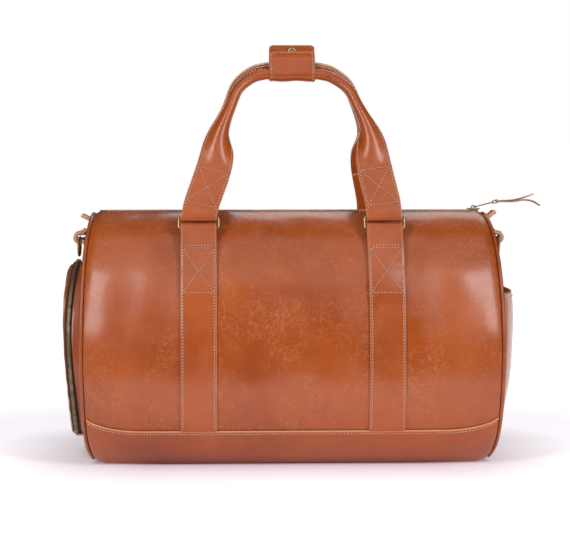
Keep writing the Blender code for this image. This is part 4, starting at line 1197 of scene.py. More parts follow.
def pull(name, place, body):
    """A pull bar that hangs from its pivot. Returns how far away its far hole ends."""
    back = -PULL_THICKNESS / 2
    middle = PULL_LENGTH / 2 + back
    waist = PULL_WIDTH / 2 * PULL_WAIST
    end = PULL_WIDTH / 2
    far_end = 2 * middle - back
    side = [
        (back, end * 0.8), (back + 0.002, end), (back + 0.006, end), (middle - 0.004, waist),
        (middle + 0.003, waist), (far_end - 0.006, end * PULL_FLARE),
    ]
    nose = arc((far_end - 0.0030, 0.0), end * PULL_FLARE, 9, math.pi / 2, -math.pi)
    nose[:, 0] += 0.0002
    both = mirrored(side)
    outline = [*both[:len(side)], *nose, *both[len(side):]]
    slot_width = PULL_WIDTH - 2 * PULL_THICKNESS
    near = PULL_SLOT / 2 + PULL_THICKNESS / 2
    slot = [(x + near, y) for x, y in rounded_box(PULL_SLOT, slot_width, 0.0012, 4)]
    far = PULL_LENGTH + back - PULL_THICKNESS - THONG[1] - RUN_CLEAR
    hole_length = 2 * (THONG[1] + RUN_CLEAR)
    hole = [(x + far, y) for x, y in rounded_box(hole_length, slot_width, 0.0014, 4)]
    outlines = [outline, slot, hole]
    made = slab(name + "_bar", outlines, PULL_THICKNESS, place, OLD_BRASS, body, SMALL_ROUND)
    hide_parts(name)
    return PULL_LENGTH + back - PULL_THICKNESS / 2


seat = Matrix.Translation((MAIN_SLIDER_X, 0.0, ZIP_TOP + TAPE_OUT))
pivot = slider("main_zip_slider", seat, "main_slider")
lift = Matrix.Rotation(-PULL_REST, 4, "Y")
pull_end = pull("main_zip_pull", Matrix.Translation(pivot) @ lift, "main_pull")
print("main pull hangs from", [round(c, 4) for c in pivot])

# %% [markdown]
# The pull carries a leather thong: one narrow lace folded in half, pushed through the hole and
# pulled over itself into a knot, with both tails left free. The tails twist a little, as stiff
# lace does.

# %% Thong


def lace(name, line, width_hint, twist, width=THONG[0], thickness=THONG[1], taper=0.0):
    """A flat lace along a line of points, turned about it by an angle that grows to twist."""
    line = np.asarray(line, float)
    run = unit(np.gradient(line, axis=0))
    hint = np.asarray(width_hint, float)
    side = unit(hint - (run @ hint)[:, None] * run)
    up = np.cross(side, run)
    turn = (np.linspace(0, 1, len(line)) ** 1.3 * twist)[:, None]
    side = np.cos(turn) * side + np.sin(turn) * up
    shares = np.linspace(-1, 1, 5)
    half = width / 2 * (1 - taper * np.linspace(0, 1, len(line)) ** 3)
    grid = line[:, None, :] + shares[None, :, None] * half[:, None, None] * side[:, None, :]
    return strip_of_leather(name, grid, thickness, [LACE_LEATHER, DARK_EDGE], None, bevel=0.0003)


def curve_through(points, count):
    """A smooth line through points, with so many steps from each to the next."""
    points = np.asarray(points, float)
    ends = np.vstack((2 * points[0] - points[1], points, 2 * points[-1] - points[-2]))
    line = []
    for a, b, c, d in zip(ends, ends[1:], ends[2:], ends[3:]):
        for t in np.arange(count) / count:
            line.append(0.5 * (2 * b + (c - a) * t + (2 * a - 5 * b + 4 * c - d) * t**2
                               + (3 * b - a - 3 * c + d) * t**3))
    return np.array([*line, points[-1]])


eye = Matrix.Translation(pivot) @ lift @ Matrix.Translation((pull_end - 0.0021, 0.0, 0.0))
to_world = np.array(eye)


def from_eye(points):
    """Points measured from the pull's far hole, in the bag's own frame."""
    points = np.asarray(points, float)
    return points @ to_world[:3, :3].T + to_world[:3, 3]


LOOP = ((-0.0002, 0.0, 0.0002), (0.0012, 0.0, 0.0016), (0.0034, 0.0, 0.0017), (0.0056, 0.0003, 0.0012))
UPPER_TAIL = (
    (0.0052, 0.0, 0.0006), (0.0125, 0.0, -0.0008), (0.0200, 0.0003, -0.0026),
    (0.0280, 0.0004, -0.0036), (0.0390, 0.0010, -0.0034), (0.0500, 0.0012, -0.0022),
)
LOWER_TAIL = (
    (0.0052, 0.0, -0.0006), (0.0125, 0.0003, -0.0022), (0.0200, -0.0002, -0.0042),
    (0.0280, -0.0004, -0.0054), (0.0370, -0.0010, -0.0062), (0.0460, -0.0014, -0.0100),
    (0.0536, -0.0014, -0.0172),
)
COIL_START, COIL_RUN, COIL_TURNS, COIL_STEPS = 0.0048, 0.0016, 2, 36
COIL_HALF_WIDTH, COIL_HALF_HEIGHT = 0.0019, 0.0017
parts = []
for side in (-1, 1):
    line = from_eye(curve_through([(x, side * y, side * z) for x, y, z in LOOP], 8))
    parts.append(lace("loop", line, (0, 1, 0), 0.0, thickness=0.0011))
coil_share = np.arange(COIL_STEPS + 1) / COIL_STEPS
coil_turn = 2 * math.pi * COIL_TURNS * coil_share
coil = np.column_stack((
    COIL_START + COIL_RUN * coil_share, COIL_HALF_WIDTH * np.cos(coil_turn),
    COIL_HALF_HEIGHT * np.sin(coil_turn),
))
parts.append(lace("coil", from_eye(coil), (1.0, 0, 0.25), 0.0, width=0.0021, thickness=0.0012))
for label, tail, twist, width, thickness, taper in (
    ("upper", UPPER_TAIL, 1.9, 0.0024, 0.0011, 0.5), ("lower", LOWER_TAIL, 0.8, THONG[0], 0.0012, 0.3),
):
    line = from_eye(curve_through(tail, 10))
    parts.append(lace(label, line, (0, 1, 0), twist, width, thickness, taper))
made = joined("thong_lace", parts, "main_pull")
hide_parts("main_zip_thong")
print("thong tails end", UPPER_TAIL[-1][0], "and", LOWER_TAIL[-1][0], "m from the pull's eye")

# %% [markdown]
# A folded piece of leather closes each end of the zip. It stands off the bag like a little tongue,
# and a finger holds it while the other hand pulls the slider.

# %% Zip end tabs
END_TAB_START = 0.2262
END_TAB_LENGTH = 0.0165
END_TAB_WIDTH = 0.024
END_TAB_FOOT = 0.2700
END_TAB_SEAM_SHARE = 0.66
END_TAB_STITCH = 0.6
END_TAB_BENDS = (("left", -1, 0.0058), ("right", 1, 0.0095))
for name, side, bend in END_TAB_BENDS:
    half_fold = LEATHER / 2 + GAP / 2
    reach = END_TAB_LENGTH - LEATHER - GAP
    shares = np.linspace(0, 1, 16)
    low = np.column_stack((shares * (reach - half_fold), bend * shares**1.1))
    nose = arc((low[-1, 0], low[-1, 1] + half_fold), half_fold + LEATHER * 0.1, 9, -math.pi / 2, math.pi)
    high = np.column_stack((low[:, 0], low[:, 1] + 2 * half_fold))[::-1]
    line = np.vstack((low[:-1], nose, high[1:]))
    line[:, 1] += END_TAB_FOOT + LEATHER / 2
    across = np.linspace(-END_TAB_WIDTH / 2, END_TAB_WIDTH / 2, 9)
    grid = sheet_of(side * (END_TAB_START + line[:, :1]), across, line[:, 1:])
    made = strip_of_leather("zip_tab_" + name, grid, LEATHER * 0.95, [TAB_LEATHER_PAINTED_HIGHLIGHT, RAW_EDGE], "bag")
    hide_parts("zip_end_tab_" + name)
    "zip_end_tab_" + name
    out = normals_of(grid, (0, 0, -1))
    top = len(line) - 1
    fold = len(low) + 6
    near = END_TAB_SEAM_SHARE
    corners = [(top - 2, -near), (fold, -near), (fold, near), (top - 2, near)]
    seam = seam_on(grid, out, corners, LEATHER / 2)
    sew("zip_tab_thread_" + name, [seam], "bag", size=END_TAB_STITCH)

# %% [markdown]
# ## Straps and rings
#
# Each strap is sewn to the body from the base seam up, with a line of stitches along both edges.
# Its top is folded over a rectangular ring and sewn down again behind itself with a box and a
# cross, which is the strongest way to hold a load.

# %% Straps
STRAP_WIDTH = 0.040
STRAP_SPREAD = 0.45 * HALF_LENGTH
STRAP_LIFT_HEIGHT = 0.224
STRAP_LIFT_LENGTH = 0.048
STRAP_DOUBLE_HEIGHT = 0.188
RING_WIRE = 0.0030
RING_BARS_APART = 0.013
RING_INSIDE = 0.0425
RING_CORNER = 0.0028
EDGE_STITCH = 0.0027
BOX_LOW_HEIGHT = 0.196
FOLD_REACH = 0.0013
FREE_BOW = 0.0010
LAYER_FILL = 0.96
STRAP_ROUND = 0.0007
SECOND_ROW = 0.8
DOUBLE_ABOVE = 0.010
DOUBLE_RAMP = 0.022
WEAR_START = 0.92

lift_at = down_to(STRAP_LIFT_HEIGHT)
double_at = down_to(STRAP_DOUBLE_HEIGHT)
leave = [float(v) for v in np.ravel(section(lift_at))]
leave_place, leave_out = np.array(leave[:2]), np.array(leave[2:])
strap_up = np.array((-leave_out[1], leave_out[0]))
strap_up = strap_up if strap_up[1] > 0 else -strap_up
BAR = leave_place + STRAP_LIFT_LENGTH * strap_up + (GAP + STRAP_LAYER) * leave_out
print("ring bar at y, z", [round(float(v), 4) for v in BAR])


def strap_grid(middle_x, depth):
    """The middle layer of a strap: up the body, over the bar and down again behind itself."""
    x = middle_x + np.linspace(-1, 1, 15) * STRAP_WIDTH / 2

    def on_body(around, layers):
        along = x / rim_x(section(around)[1])
        return skin(along, depth * around, GAP + layers * STRAP_LAYER)

    outer = np.linspace(SEAM - GAP, lift_at, 64)
    rows = [on_body(a, 0.5 + eased((double_at + DOUBLE_ABOVE - a) / DOUBLE_RAMP)) for a in outer]
    radius = RING_WIRE / 2 + RUN_CLEAR + STRAP_LAYER / 2
    out = leave_out
    y, z = rows[-1].mean(0)[1:]
    origin = np.array((depth * y, z))
    target = BAR + radius * out
    spots = [
        origin * (1 - share) + target * share + FREE_BOW * math.sin(math.pi * share) * out
        for share in np.linspace(0, 1, 14)[1:]
    ]
    turn_way = 1.0 if np.cross(out, strap_up) > 0 else -1.0
    for spot in arc(BAR, radius, 17, math.atan2(out[1], out[0]), turn_way * math.pi)[1:]:
        higher = max(0.0, float((spot - BAR) @ strap_up)) / radius
        spots.append(spot + FOLD_REACH * higher * strap_up)
    inner = BAR - radius * out
    base = leave_place + (GAP + STRAP_LAYER / 2) * out
    spots += [inner * (1 - share) + base * share for share in np.linspace(0, 1, 12)[1:-1]]
    rows += [sheet_of(x, depth * y, z) for y, z in spots]
    rows += [on_body(around, 0.5) for around in np.linspace(lift_at, double_at - 0.001, 16)]
    return np.array(rows), len(outer)


def worn_sides(grid, strength=0.4):
    """Wear along both long edges, for the finish."""
    share = np.abs(np.linspace(-1, 1, grid.shape[1]))
    worn = np.clip((share - WEAR_START) / (1 - WEAR_START), 0, 1) * strength
    return np.repeat(worn[None], grid.shape[0], axis=0)


EDGE_SHARE = 1 - 2 * EDGE_STITCH / STRAP_WIDTH
for face, depth in (("front", 1), ("back", -1)):
    for name, side in (("left", -1), ("right", 1)):
        label = face + "_" + name
        grid, body_rows = strap_grid(side * STRAP_SPREAD, depth)
        made = strip_of_leather(
            label + "_sewn_strap", grid, STRAP_LAYER * LAYER_FILL, [STRAP_LEATHER, RAW_EDGE], "bag",
            edge=worn_sides(grid), bevel=STRAP_ROUND,
        )
        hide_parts(face + "_strap_" + name)
        face + "_strap_" + name
        out = normals_of(grid, (0.0, -depth, 0.2), 10)
        box_top = body_rows + 4.3
        box_low = float(np.interp(BOX_LOW_HEIGHT, grid[:body_rows, 7, 2], np.arange(body_rows)))
        skin_lift = STRAP_LAYER * LAYER_FILL / 2
        lines = [
            seam_on(grid, out, [(1.5, share), (box_top, share)], skin_lift, 200)
            for share in (-EDGE_SHARE, EDGE_SHARE)
        ]
        lines += crossed_box(grid, out, box_low, box_top, EDGE_SHARE, skin_lift)
        above = box_top + SECOND_ROW
        lines.append(seam_on(grid, out, [(above, -EDGE_SHARE), (above, EDGE_SHARE)], skin_lift))
        sew(label + "_strap_thread", lines, "bag")

# %% Rings
HANDLE_HEIGHT = 0.1762
BACK_HANDLE_EXTRA = 0.008
FRONT_ROLL_Y = 0.0090
BACK_ROLL_Y = 0.0068


def handle_height(depth):
    """How high a handle rises above its ring bars. depth is 1 in front and -1 behind."""
    return HANDLE_HEIGHT + (BACK_HANDLE_EXTRA if depth < 0 else 0.0)


def handle_lean(depth):
    """How far a handle leans toward the other one."""
    roll_y = FRONT_ROLL_Y if depth > 0 else BACK_ROLL_Y
    return math.asin((-BAR[0] - roll_y) / (RING_BARS_APART + handle_height(depth)))


def handle_frame(depth):
    """The pivot on the upper ring bars, and the handle plane's upward and facing directions."""
    lean = handle_lean(depth)
    upward = np.array((0.0, depth * math.sin(lean), math.cos(lean)))
    facing = np.array((0.0, -depth * math.cos(lean), math.sin(lean)))
    return np.array((0.0, depth * BAR[0], BAR[1])) + RING_BARS_APART * upward, upward, facing


wire = rounded_box(RING_INSIDE + RING_WIRE, RING_BARS_APART, RING_CORNER, 8)
for face, depth in (("front", 1), ("back", -1)):
    _, upward, _ = handle_frame(depth)
    for name, side in (("left", -1), ("right", 1)):
        ring_at = turned((1, 0, 0), upward, (side * STRAP_SPREAD, depth * BAR[0], BAR[1]))
        line = [ring_at @ Vector((x, y + RING_BARS_APART / 2, 0.0)) for x, y in wire]
        label = f"{face}_{name}_ring"
        made = tube_along(label, line, RING_WIRE / 2, OLD_BRASS, face + "_rings", 5)
        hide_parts(f"{face}_ring_{name}")
        print(label, "hangs at", [round(c, 4) for c in ring_at.translation])

# %% [markdown]
# ## Handles
#
# Each handle is one long strap. At its ends it is flat and 40 mm wide; it passes round the ring
# and is sewn to itself with another crossed box. Towards the top its edges fold back, until the
# leather closes into a roll round a cotton rope, sewn along its outer side. Between the two forms
# the edges cup backward like the petals of a bell, and the highlights there are soft and broad.

# %% The handles' arch
HANDLE_WIDTH = 0.040
HANDLE_LEG_START = 0.007
HANDLE_SEWN_LENGTH = 0.055
HANDLE_TOP_WIDTH = 0.033
HANDLE_SWAY = 0.0055
HANDLE_FOLD_REACH = 0.0008
HANDLE_SWAY_SHARE = 0.8
TOP_SWAY = HANDLE_SWAY * math.sin(HANDLE_SWAY_SHARE * math.pi)
FOLD_START = 0.070
FOLD_END = 0.148
SHALLOW_FOLD = 0.12
SHALLOW_RUN = 0.026
FLAP_LEAN = math.radians(28.0)
FLAP_TURN = math.radians(52.0)
HANDLE_PATH_SHARES = (
    (1.000, 0.000), (0.972, 0.110), (0.876, 0.325), (0.805, 0.560), (0.665, 0.815),
    (0.580, 0.908), (0.440, 0.973), (0.335, 0.994), (0.255, 1.000), (0.120, 1.000),
)
ROLL_TURN = math.pi / 2 + FLAP_LEAN
ROLL_RADIUS = (
    (HANDLE_TOP_WIDTH / 2 + (LEATHER / 2 * math.cos(FLAP_LEAN) + GAP) / math.sin(FLAP_LEAN))
    / (ROLL_TURN + 1 / math.tan(FLAP_LEAN))
)
ROLL_ARC = ROLL_RADIUS * ROLL_TURN


def handle_arch(depth):
    """Distances, places and directions of the arch in the handle's own plane."""
    size = np.array((STRAP_SPREAD, handle_height(depth)))
    right = np.array(HANDLE_PATH_SHARES) * size
    line = curve_through([*right, *(right[::-1] * (-1, 1))], 16)
    line[:, 0] += HANDLE_SWAY * np.sin(HANDLE_SWAY_SHARE * math.pi * line[:, 1] / size[1])
    distance = travelled(line)
    return distance, line, unit(np.gradient(line, distance, axis=0))


def folded_line(fold, lengths):
    """Where points at lengths across the strip lie, flat at fold 0 and rolled at fold 1."""
    bend = max(fold, 0.0003) * ROLL_TURN
    radius = ROLL_ARC / bend
    reach = np.abs(lengths)
    turn = np.minimum(reach, ROLL_ARC) / radius
    past = np.maximum(0.0, reach - ROLL_ARC)
    x = radius * np.sin(turn) + past * math.cos(bend)
    y = radius * (1 - np.cos(turn)) + past * math.sin(bend)
    return np.sign(lengths) * x, y


ACROSS = np.linspace(-HANDLE_WIDTH / 2, HANDLE_WIDTH / 2, 33)
LAYER_SHIFT = (LEATHER + GAP) / 2
LAYER_RUN = 0.010
LEG_ABOVE = 0.002
LOOP_CLEAR = 0.0003
LOOP_START_TURN = 0.34
LOOP_RADIUS = RING_WIRE / 2 + RUN_CLEAR + LEATHER / 2 + LOOP_CLEAR
HANDLE_STITCH = 0.0028
HANDLE_EDGE_SHARE = 1 - 2 * HANDLE_STITCH / HANDLE_WIDTH
HANDLE_BOX = (0.0065, 0.0500)


def handle_row(depth, distance, arch, length, layer):
    """One row across the strip at a distance along the arch, moved a layer to the front."""
    distances, places, runs = arch
    x, up = between(distance, distances, places)
    run_x, run_up = between(distance, distances, runs)
    pivot_at, upward, facing_at = handle_frame(depth)
    place = pivot_at + np.array((x, 0, 0)) + up * upward
    outward = unit(np.array((run_up, 0, 0)) - run_x * upward)
    reach = min(distance, length - distance)
    fold = eased((reach - FOLD_START) / (FOLD_END - FOLD_START))
    turn = fold * FLAP_TURN
    fold = fold + (1 - fold) * SHALLOW_FOLD * eased((reach - HANDLE_SEWN_LENGTH) / SHALLOW_RUN)
    px, py = folded_line(fold, ACROSS * (1 + fold * (HANDLE_TOP_WIDTH / HANDLE_WIDTH - 1)))
    rise = py - fold * ROLL_RADIUS
    across = px * math.cos(turn) + rise * math.sin(turn)
    front = px * math.sin(turn) - rise * math.cos(turn)
    return place + across[:, None] * outward + (front + layer)[:, None] * facing_at


def loop_row(depth, turn, side):
    """One row of the strip where it passes round a ring, on the right (1) or the left (-1)."""
    pivot_at, upward, facing_at = handle_frame(depth)
    forward = -LOOP_RADIUS * math.cos(turn)
    below = (LOOP_RADIUS + HANDLE_FOLD_REACH) * math.sin(turn)
    middle = pivot_at + forward * facing_at - below * upward
    return middle + np.outer(side * (ACROSS + STRAP_SPREAD), (1.0, 0, 0))


for face, depth in (("front", 1), ("back", -1)):
    arch = handle_arch(depth)
    length = float(arch[0][-1])
    loop_turns = np.linspace(LOOP_START_TURN, math.pi - LOOP_START_TURN, 15)
    start = HANDLE_LEG_START + LEG_ABOVE
    behind = np.linspace(HANDLE_SEWN_LENGTH, start, 20)
    ahead = np.linspace(start, length - start, 241)
    reach = np.minimum(ahead, length - ahead)
    layers = LAYER_SHIFT * eased((HANDLE_SEWN_LENGTH + LAYER_RUN - reach) / LAYER_RUN)
    rows = [handle_row(depth, at, arch, length, -LAYER_SHIFT) for at in behind]
    rows += [loop_row(depth, turn, 1) for turn in loop_turns]
    first_front = len(rows)
    rows += [handle_row(depth, at, arch, length, layer) for at, layer in zip(ahead, layers)]
    last_front = len(rows)
    rows += [loop_row(depth, turn, -1) for turn in loop_turns[::-1]]
    rows += [handle_row(depth, length - at, arch, length, -LAYER_SHIFT) for at in behind[::-1]]
    grid = np.array(rows)
    made = strip_of_leather(
        face + "_handle_strap", grid, LEATHER, [HANDLE_LEATHER, RAW_EDGE], face + "_handle",
        edge=worn_sides(grid), bevel=0.0005,
    )
    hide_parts(face + "_handle")
    out = normals_of(grid, handle_frame(depth)[2], first_front + 12)
    down = travelled(grid[first_front:last_front, len(ACROSS) // 2])
    ends = (first_front + 1, last_front - 2)
    lines = [
        seam_on(grid, out, [(row, side * HANDLE_EDGE_SHARE) for row in ends], LEATHER / 2, 700)
        for side in (-1, 1)
    ]
    low, high = first_front + np.interp(HANDLE_BOX, down, np.arange(len(down)))
    whole = first_front + last_front - 1
    for box in ((low, high), (whole - low, whole - high)):
        lines += crossed_box(grid, out, *box, HANDLE_EDGE_SHARE, LEATHER / 2)
    sew(face + "_handle_thread", lines, face + "_handle")
    print(face, "handle: arch", round(length, 3), "m,", len(grid), "rows")

# %% [markdown]
# ## Handle wrap
#
# A short piece of leather keeps the two handles together. Its back part is sewn round the back
# handle. Its flap goes over the front handle and snaps to the back part.

# %% Handle wrap
WRAP_LENGTH = 0.053
WRAP_LEATHER = 0.0020
WRAP_CLEAR = 0.0004
WRAP_JOIN_HEIGHT = 0.0190
FLAP_TOP_HEIGHT = 0.0268
BACK_TOP_HEIGHT = 0.0343
SNAP_RADIUS = 0.0048
SNAP_THICKNESS = 0.0015
SNAP_HEIGHT = 0.0262
SNAP_SHARES = (
    (0.90, -1.0), (1.0, -0.4), (1.0, 0.3), (0.94, 0.8), (0.80, 1.0),
    (0.62, 0.75), (0.45, 0.7), (0.30, 1.0), (0.10, 1.0),
)
WRAP_CORNER = 0.0042
FLAP_WAVE = 0.0004
FLAP_EDGE_WAVE = 0.0003
FLAP_EDGE_RISE = 0.0006
ROLL_OUTER = ROLL_RADIUS + LEATHER / 2


def roll_middle(depth):
    """The middle of a handle's roll at its top, as y and z."""
    pivot_at, upward, _ = handle_frame(depth)
    return (pivot_at + handle_height(depth) * upward)[1:]


front_roll, back_roll = roll_middle(1), roll_middle(-1)
wrap_reach = ROLL_OUTER + WRAP_CLEAR + WRAP_LEATHER / 2
apart = SNAP_THICKNESS + GAP + WRAP_LEATHER / 2
join_z = front_roll[1] + WRAP_JOIN_HEIGHT
meet = (front_roll + back_roll) / 2
flap_top = np.array((meet[0] - apart, front_roll[1] + FLAP_TOP_HEIGHT))
flap_line = [flap_top, (meet[0] - apart, join_z)]
flap_line += list(arc(front_roll, wrap_reach, 30, math.radians(140), math.radians(160)))
back_top = np.array((meet[0] + apart, front_roll[1] + BACK_TOP_HEIGHT))
behind = [back_top, (meet[0] + apart, join_z + WRAP_LEATHER)]
behind += list(arc(back_roll, wrap_reach, 30, math.radians(45), math.radians(-160)))
crease, last = np.array(flap_line[-1]), np.array(behind[-1])
behind.append(crease + (last - crease) / np.linalg.norm(last - crease) * (WRAP_LEATHER + GAP))


for name, line, body, toward in (
    ("flap", flap_line, "wrap_flap", -1), ("back", behind, "back_handle", 1),
):
    line = np.asarray(line, float)
    distance = travelled(line)
    at = np.linspace(0, distance[-1], 46)
    smooth = between(at, distance, line)
    for _ in range(3):
        smooth[1:-1] = (smooth[:-2] + 2 * smooth[1:-1] + smooth[2:]) / 4
    inside = np.clip(WRAP_CORNER - at, 0, WRAP_CORNER)
    half = WRAP_LENGTH / 2 - (WRAP_CORNER - np.sqrt(WRAP_CORNER**2 - inside**2))
    if name == "flap":
        half = half + FLAP_EDGE_WAVE * np.sin(at * 160)
    across = np.linspace(-1, 1, 33)
    grid = np.array(sheet_of(TOP_SWAY + across * half[:, None], smooth[:, :1], smooth[:, 1:]))
    if name == "flap":
        loose = np.clip((at - at[-1] * 0.55) / (at[-1] * 0.45), 0, 1)[:, None]
        grid[..., 1] -= FLAP_WAVE * loose * (1 + np.sin(9 * across))
        grid[..., 2] += FLAP_EDGE_RISE * loose * np.sin(5 * across + 0.5)
    made = strip_of_leather(
        "wrap_" + name, grid, WRAP_LEATHER * 0.95, [HANDLE_LEATHER, RAW_EDGE], body,
        edge=worn_sides(grid), bevel=0.0005,
    )
    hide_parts("handle_wrap_" + name)
    "handle_wrap_" + name
    out = normals_of(grid, (0, toward, 0), 14)
    corners = mirrored([(len(grid) - 2, -0.90), (3.0, -0.90), (1.6, -0.84)])
    sew("wrap_thread_" + name, [seam_on(grid, out, corners, WRAP_LEATHER / 2, 80)], body, size=0.9)


def lathe(name, profile, place, material, body, count=32):
    """A turned piece: its profile is (radius, height) and turns about the frame's z."""
    turns = [2 * math.pi * n / count for n in range(count)]
    points = [
        place @ Vector((radius * math.cos(turn), radius * math.sin(turn), height))
        for radius, height in profile for turn in turns
    ]
    faces = grid_faces(len(profile), count, wrap=True)
    faces += [tuple(range(count))[::-1], tuple(range(len(points) - count, len(points)))]
    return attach(outward_faces(piece(name, points, faces, [material], None), 50), body)


middle_y = (flap_line[0][0] + behind[0][0]) / 2
snap_z = front_roll[1] + SNAP_HEIGHT
thick = SNAP_THICKNESS - GAP
for name, side, body in (("stud", -1, "wrap_flap"), ("socket", 1, "back_handle")):
    y = middle_y + side * (GAP + SNAP_THICKNESS) / 2
    place = turned((1, 0, 0), (0, 0, 1), (TOP_SWAY, y, snap_z))
    profile = [(SNAP_RADIUS * r, thick / 2 * h) for r, h in SNAP_SHARES]
    made = lathe("snap_" + name + "_cap", profile, place, SNAP_BRASS, body)
    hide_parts("snap_" + name)
    "snap_" + name

# %% [markdown]
# ## Shoe pocket
#
# The left end is a drum with a zip round its side, so that the whole outer panel folds down on a
# leather strip. The panel is cut fuller than the drum and bulges, most of all above its middle.

# %% Shoe pocket
POCKET_RADIUS = 0.1015
POCKET_MIDDLE = 0.1235
POCKET_ZIP_X = HALF_LENGTH + 0.0114
POCKET_TAPE_REACH = 0.0046
POCKET_TAPE_ROOT = 0.0066
POCKET_PITCH = 0.016
POCKET_TEETH = 34
POCKET_BULGE = 0.0108
POCKET_BULGE_PEAK = 1.353
POCKET_SWEEP = POCKET_TEETH * POCKET_PITCH / POCKET_RADIUS
POCKET_ROW_WIDTH = ROW_WIDTH / 2
POCKET_BOW = 0.0058
POCKET_BOW_TURN = math.radians(-72)
POCKET_BOW_SPREAD = math.radians(42)
GUSSET_START = 0.0056
GUSSET_SLOPE = 0.0020
GUSSET_LEATHER = 0.0011


def pocket_place(turn, out, x):
    """A point round the drum: turn from the top, out from its axis, x toward the left."""
    turn, out, x = np.broadcast_arrays(
        np.asarray(turn, float), np.asarray(out, float), np.asarray(x, float)
    )
    return np.stack((-x, out * np.sin(turn), POCKET_MIDDLE + out * np.cos(turn)), -1)


def pocket_bow(turn):
    """How far the zip bows outward: only on its front half, because the slider runs on the other."""
    past = (np.asarray(turn, float) - POCKET_BOW_TURN) / POCKET_BOW_SPREAD
    return POCKET_BOW * np.exp(-(past**2))


def drum_sheet(name, turns, out, x, thickness, materials, bevel=0.0005, bow=0.0):
    """A sheet round the drum that never goes behind the end panel."""
    grid = pocket_place(turns[:, None], out, x)
    grid[..., 0] -= bow
    wall = end_face_x(grid[..., 1], grid[..., 2]) + GAP
    grid[..., 0] = -np.maximum(-grid[..., 0], wall)
    middle = (-POCKET_ZIP_X, 0, POCKET_MIDDLE)
    return leather_sheet(name, grid, thickness, materials, "bag", middle, bevel=bevel)


cord_edge = ROW_INNER + POCKET_ROW_WIDTH / 2
turns = np.linspace(-POCKET_SWEEP / 2, POCKET_SWEEP / 2, 181)
for name, side in (("inner", -1), ("outer", 1)):
    far = POCKET_ZIP_X + (POCKET_TAPE_REACH if side > 0 else -POCKET_TAPE_ROOT)
    widths = np.linspace(POCKET_ZIP_X + side * cord_edge, far, 4)
    outer_share = np.ones(4) if side > 0 else np.linspace(1, 0, 4)
    made = drum_sheet(
        "shoe_zip_tape_" + name, turns, POCKET_RADIUS, widths, TAPE_CLOTH, [ZIP_TAPE, ZIP_TAPE],
        bevel=0.0, bow=pocket_bow(turns)[:, None] * outer_share,
    )
    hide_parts("pocket_zip_tape_" + name)
    "pocket_zip_tape_" + name
    spots = []
    pitch = TOOTH_PITCH / POCKET_RADIUS
    shift = 0.25 if side > 0 else -0.25
    count = int(POCKET_SWEEP / pitch) - 1
    for n in range(count):
        turn = (n - (count - 1) / 2 + shift) * pitch
        spot = pocket_place(turn, POCKET_RADIUS + GAP, POCKET_ZIP_X + pocket_bow(turn))
        up = np.array((0.0, math.sin(turn), math.cos(turn)))
        along = np.array((0.0, math.cos(turn), -math.sin(turn)))
        spots.append((spot, along, np.array((-float(side), 0, 0)), up))
    made = teeth("shoe_zip_teeth_" + name, spots, "bag", 0.66)
    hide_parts("pocket_zip_teeth_" + name)
    "pocket_zip_teeth_" + name

bow = pocket_bow(turns)[:, None]
near_zip = POCKET_ZIP_X + bow - GUSSET_START + GUSSET_SLOPE * bow / POCKET_BOW
shares = np.linspace(0, 1, 5)[None, :]
widths = near_zip + shares * (POCKET_ZIP_X - POCKET_TAPE_ROOT - near_zip)
made = drum_sheet(
    "shoe_gusset_leather", turns, POCKET_RADIUS + GUSSET_LEATHER + GAP, widths, GUSSET_LEATHER,
    [END_LEATHER, DARK_EDGE], bevel=0.0003,
)
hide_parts("pocket_zip_tape_inner")

rest = 2 * math.pi - POCKET_SWEEP - 2 * POCKET_PITCH / POCKET_RADIUS
strip_turns = math.pi + np.linspace(-0.5, 0.5, 41) * rest
widths = np.linspace(POCKET_ZIP_X - POCKET_TAPE_ROOT, POCKET_ZIP_X + POCKET_TAPE_REACH - LEATHER, 6)
made = drum_sheet(
    "shoe_hinge_leather", strip_turns, POCKET_RADIUS, widths, LEATHER, [END_LEATHER, DARK_EDGE])
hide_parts("shoe_pocket_hinge_strip")

# %% Shoe pocket's panel
FOLD_HEIGHT = 0.00055
WAVE_HEIGHT = 0.0007
RIM_DIP = 0.0016
RIM_SEAM_SHARE = 0.972
RIM_SEAM_LIFT = 0.0010
edge_x = POCKET_ZIP_X + POCKET_TAPE_REACH + GAP
panel_edge = POCKET_RADIUS - TAPE_CLOTH - GAP
out, turn = on_disc(73)
across, up = out * np.sin(turn), out * np.cos(turn)
full = (1 + up) ** 1.6 * np.maximum(0.0, 1 - up) ** 0.5 / POCKET_BULGE_PEAK
half = np.sqrt(np.maximum(1e-6, 1 - up * up))
round_off = np.maximum(0.0, 1 - (across / half) ** 2) ** 0.7
near_rim = np.clip((out - 0.70) / 0.25, 0, 1) * np.clip((1 - out) / 0.06, 0, 1)
folds = FOLD_HEIGHT * np.sin(21 * turn + 3 * np.sin(3 * turn)) * near_rim
waves = WAVE_HEIGHT * np.sin(7 * across + 4 * up + 0.5) * np.sin(5 * up - 3 * across)
x = edge_x + POCKET_BULGE * full * round_off + folds + waves * (1 - out**3)
x = x - RIM_DIP * np.clip((out - 0.965) / 0.035, 0, 1) ** 2 + pocket_bow(turn) * out**2
grid = sheet_of(-x, panel_edge * across, POCKET_MIDDLE + panel_edge * up)
made = leather_sheet(
    "shoe_pocket_leather", grid, LEATHER * 0.9, [END_LEATHER, DARK_EDGE], "bag",
    (0, 0, POCKET_MIDDLE), bevel=0.0,
)
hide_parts("shoe_pocket_panel")
ring_turns = np.linspace(-math.pi, math.pi, 361)
rim_x_at = edge_x + RIM_SEAM_LIFT + pocket_bow(ring_turns) * RIM_SEAM_SHARE**2
rim = pocket_place(ring_turns, panel_edge * RIM_SEAM_SHARE, rim_x_at)
rim_out = np.repeat(np.array([[-1.0, 0, 0]]), len(rim), axis=0)
sew("shoe_pocket_thread", [(rim, rim_out)], "bag", size=0.8)

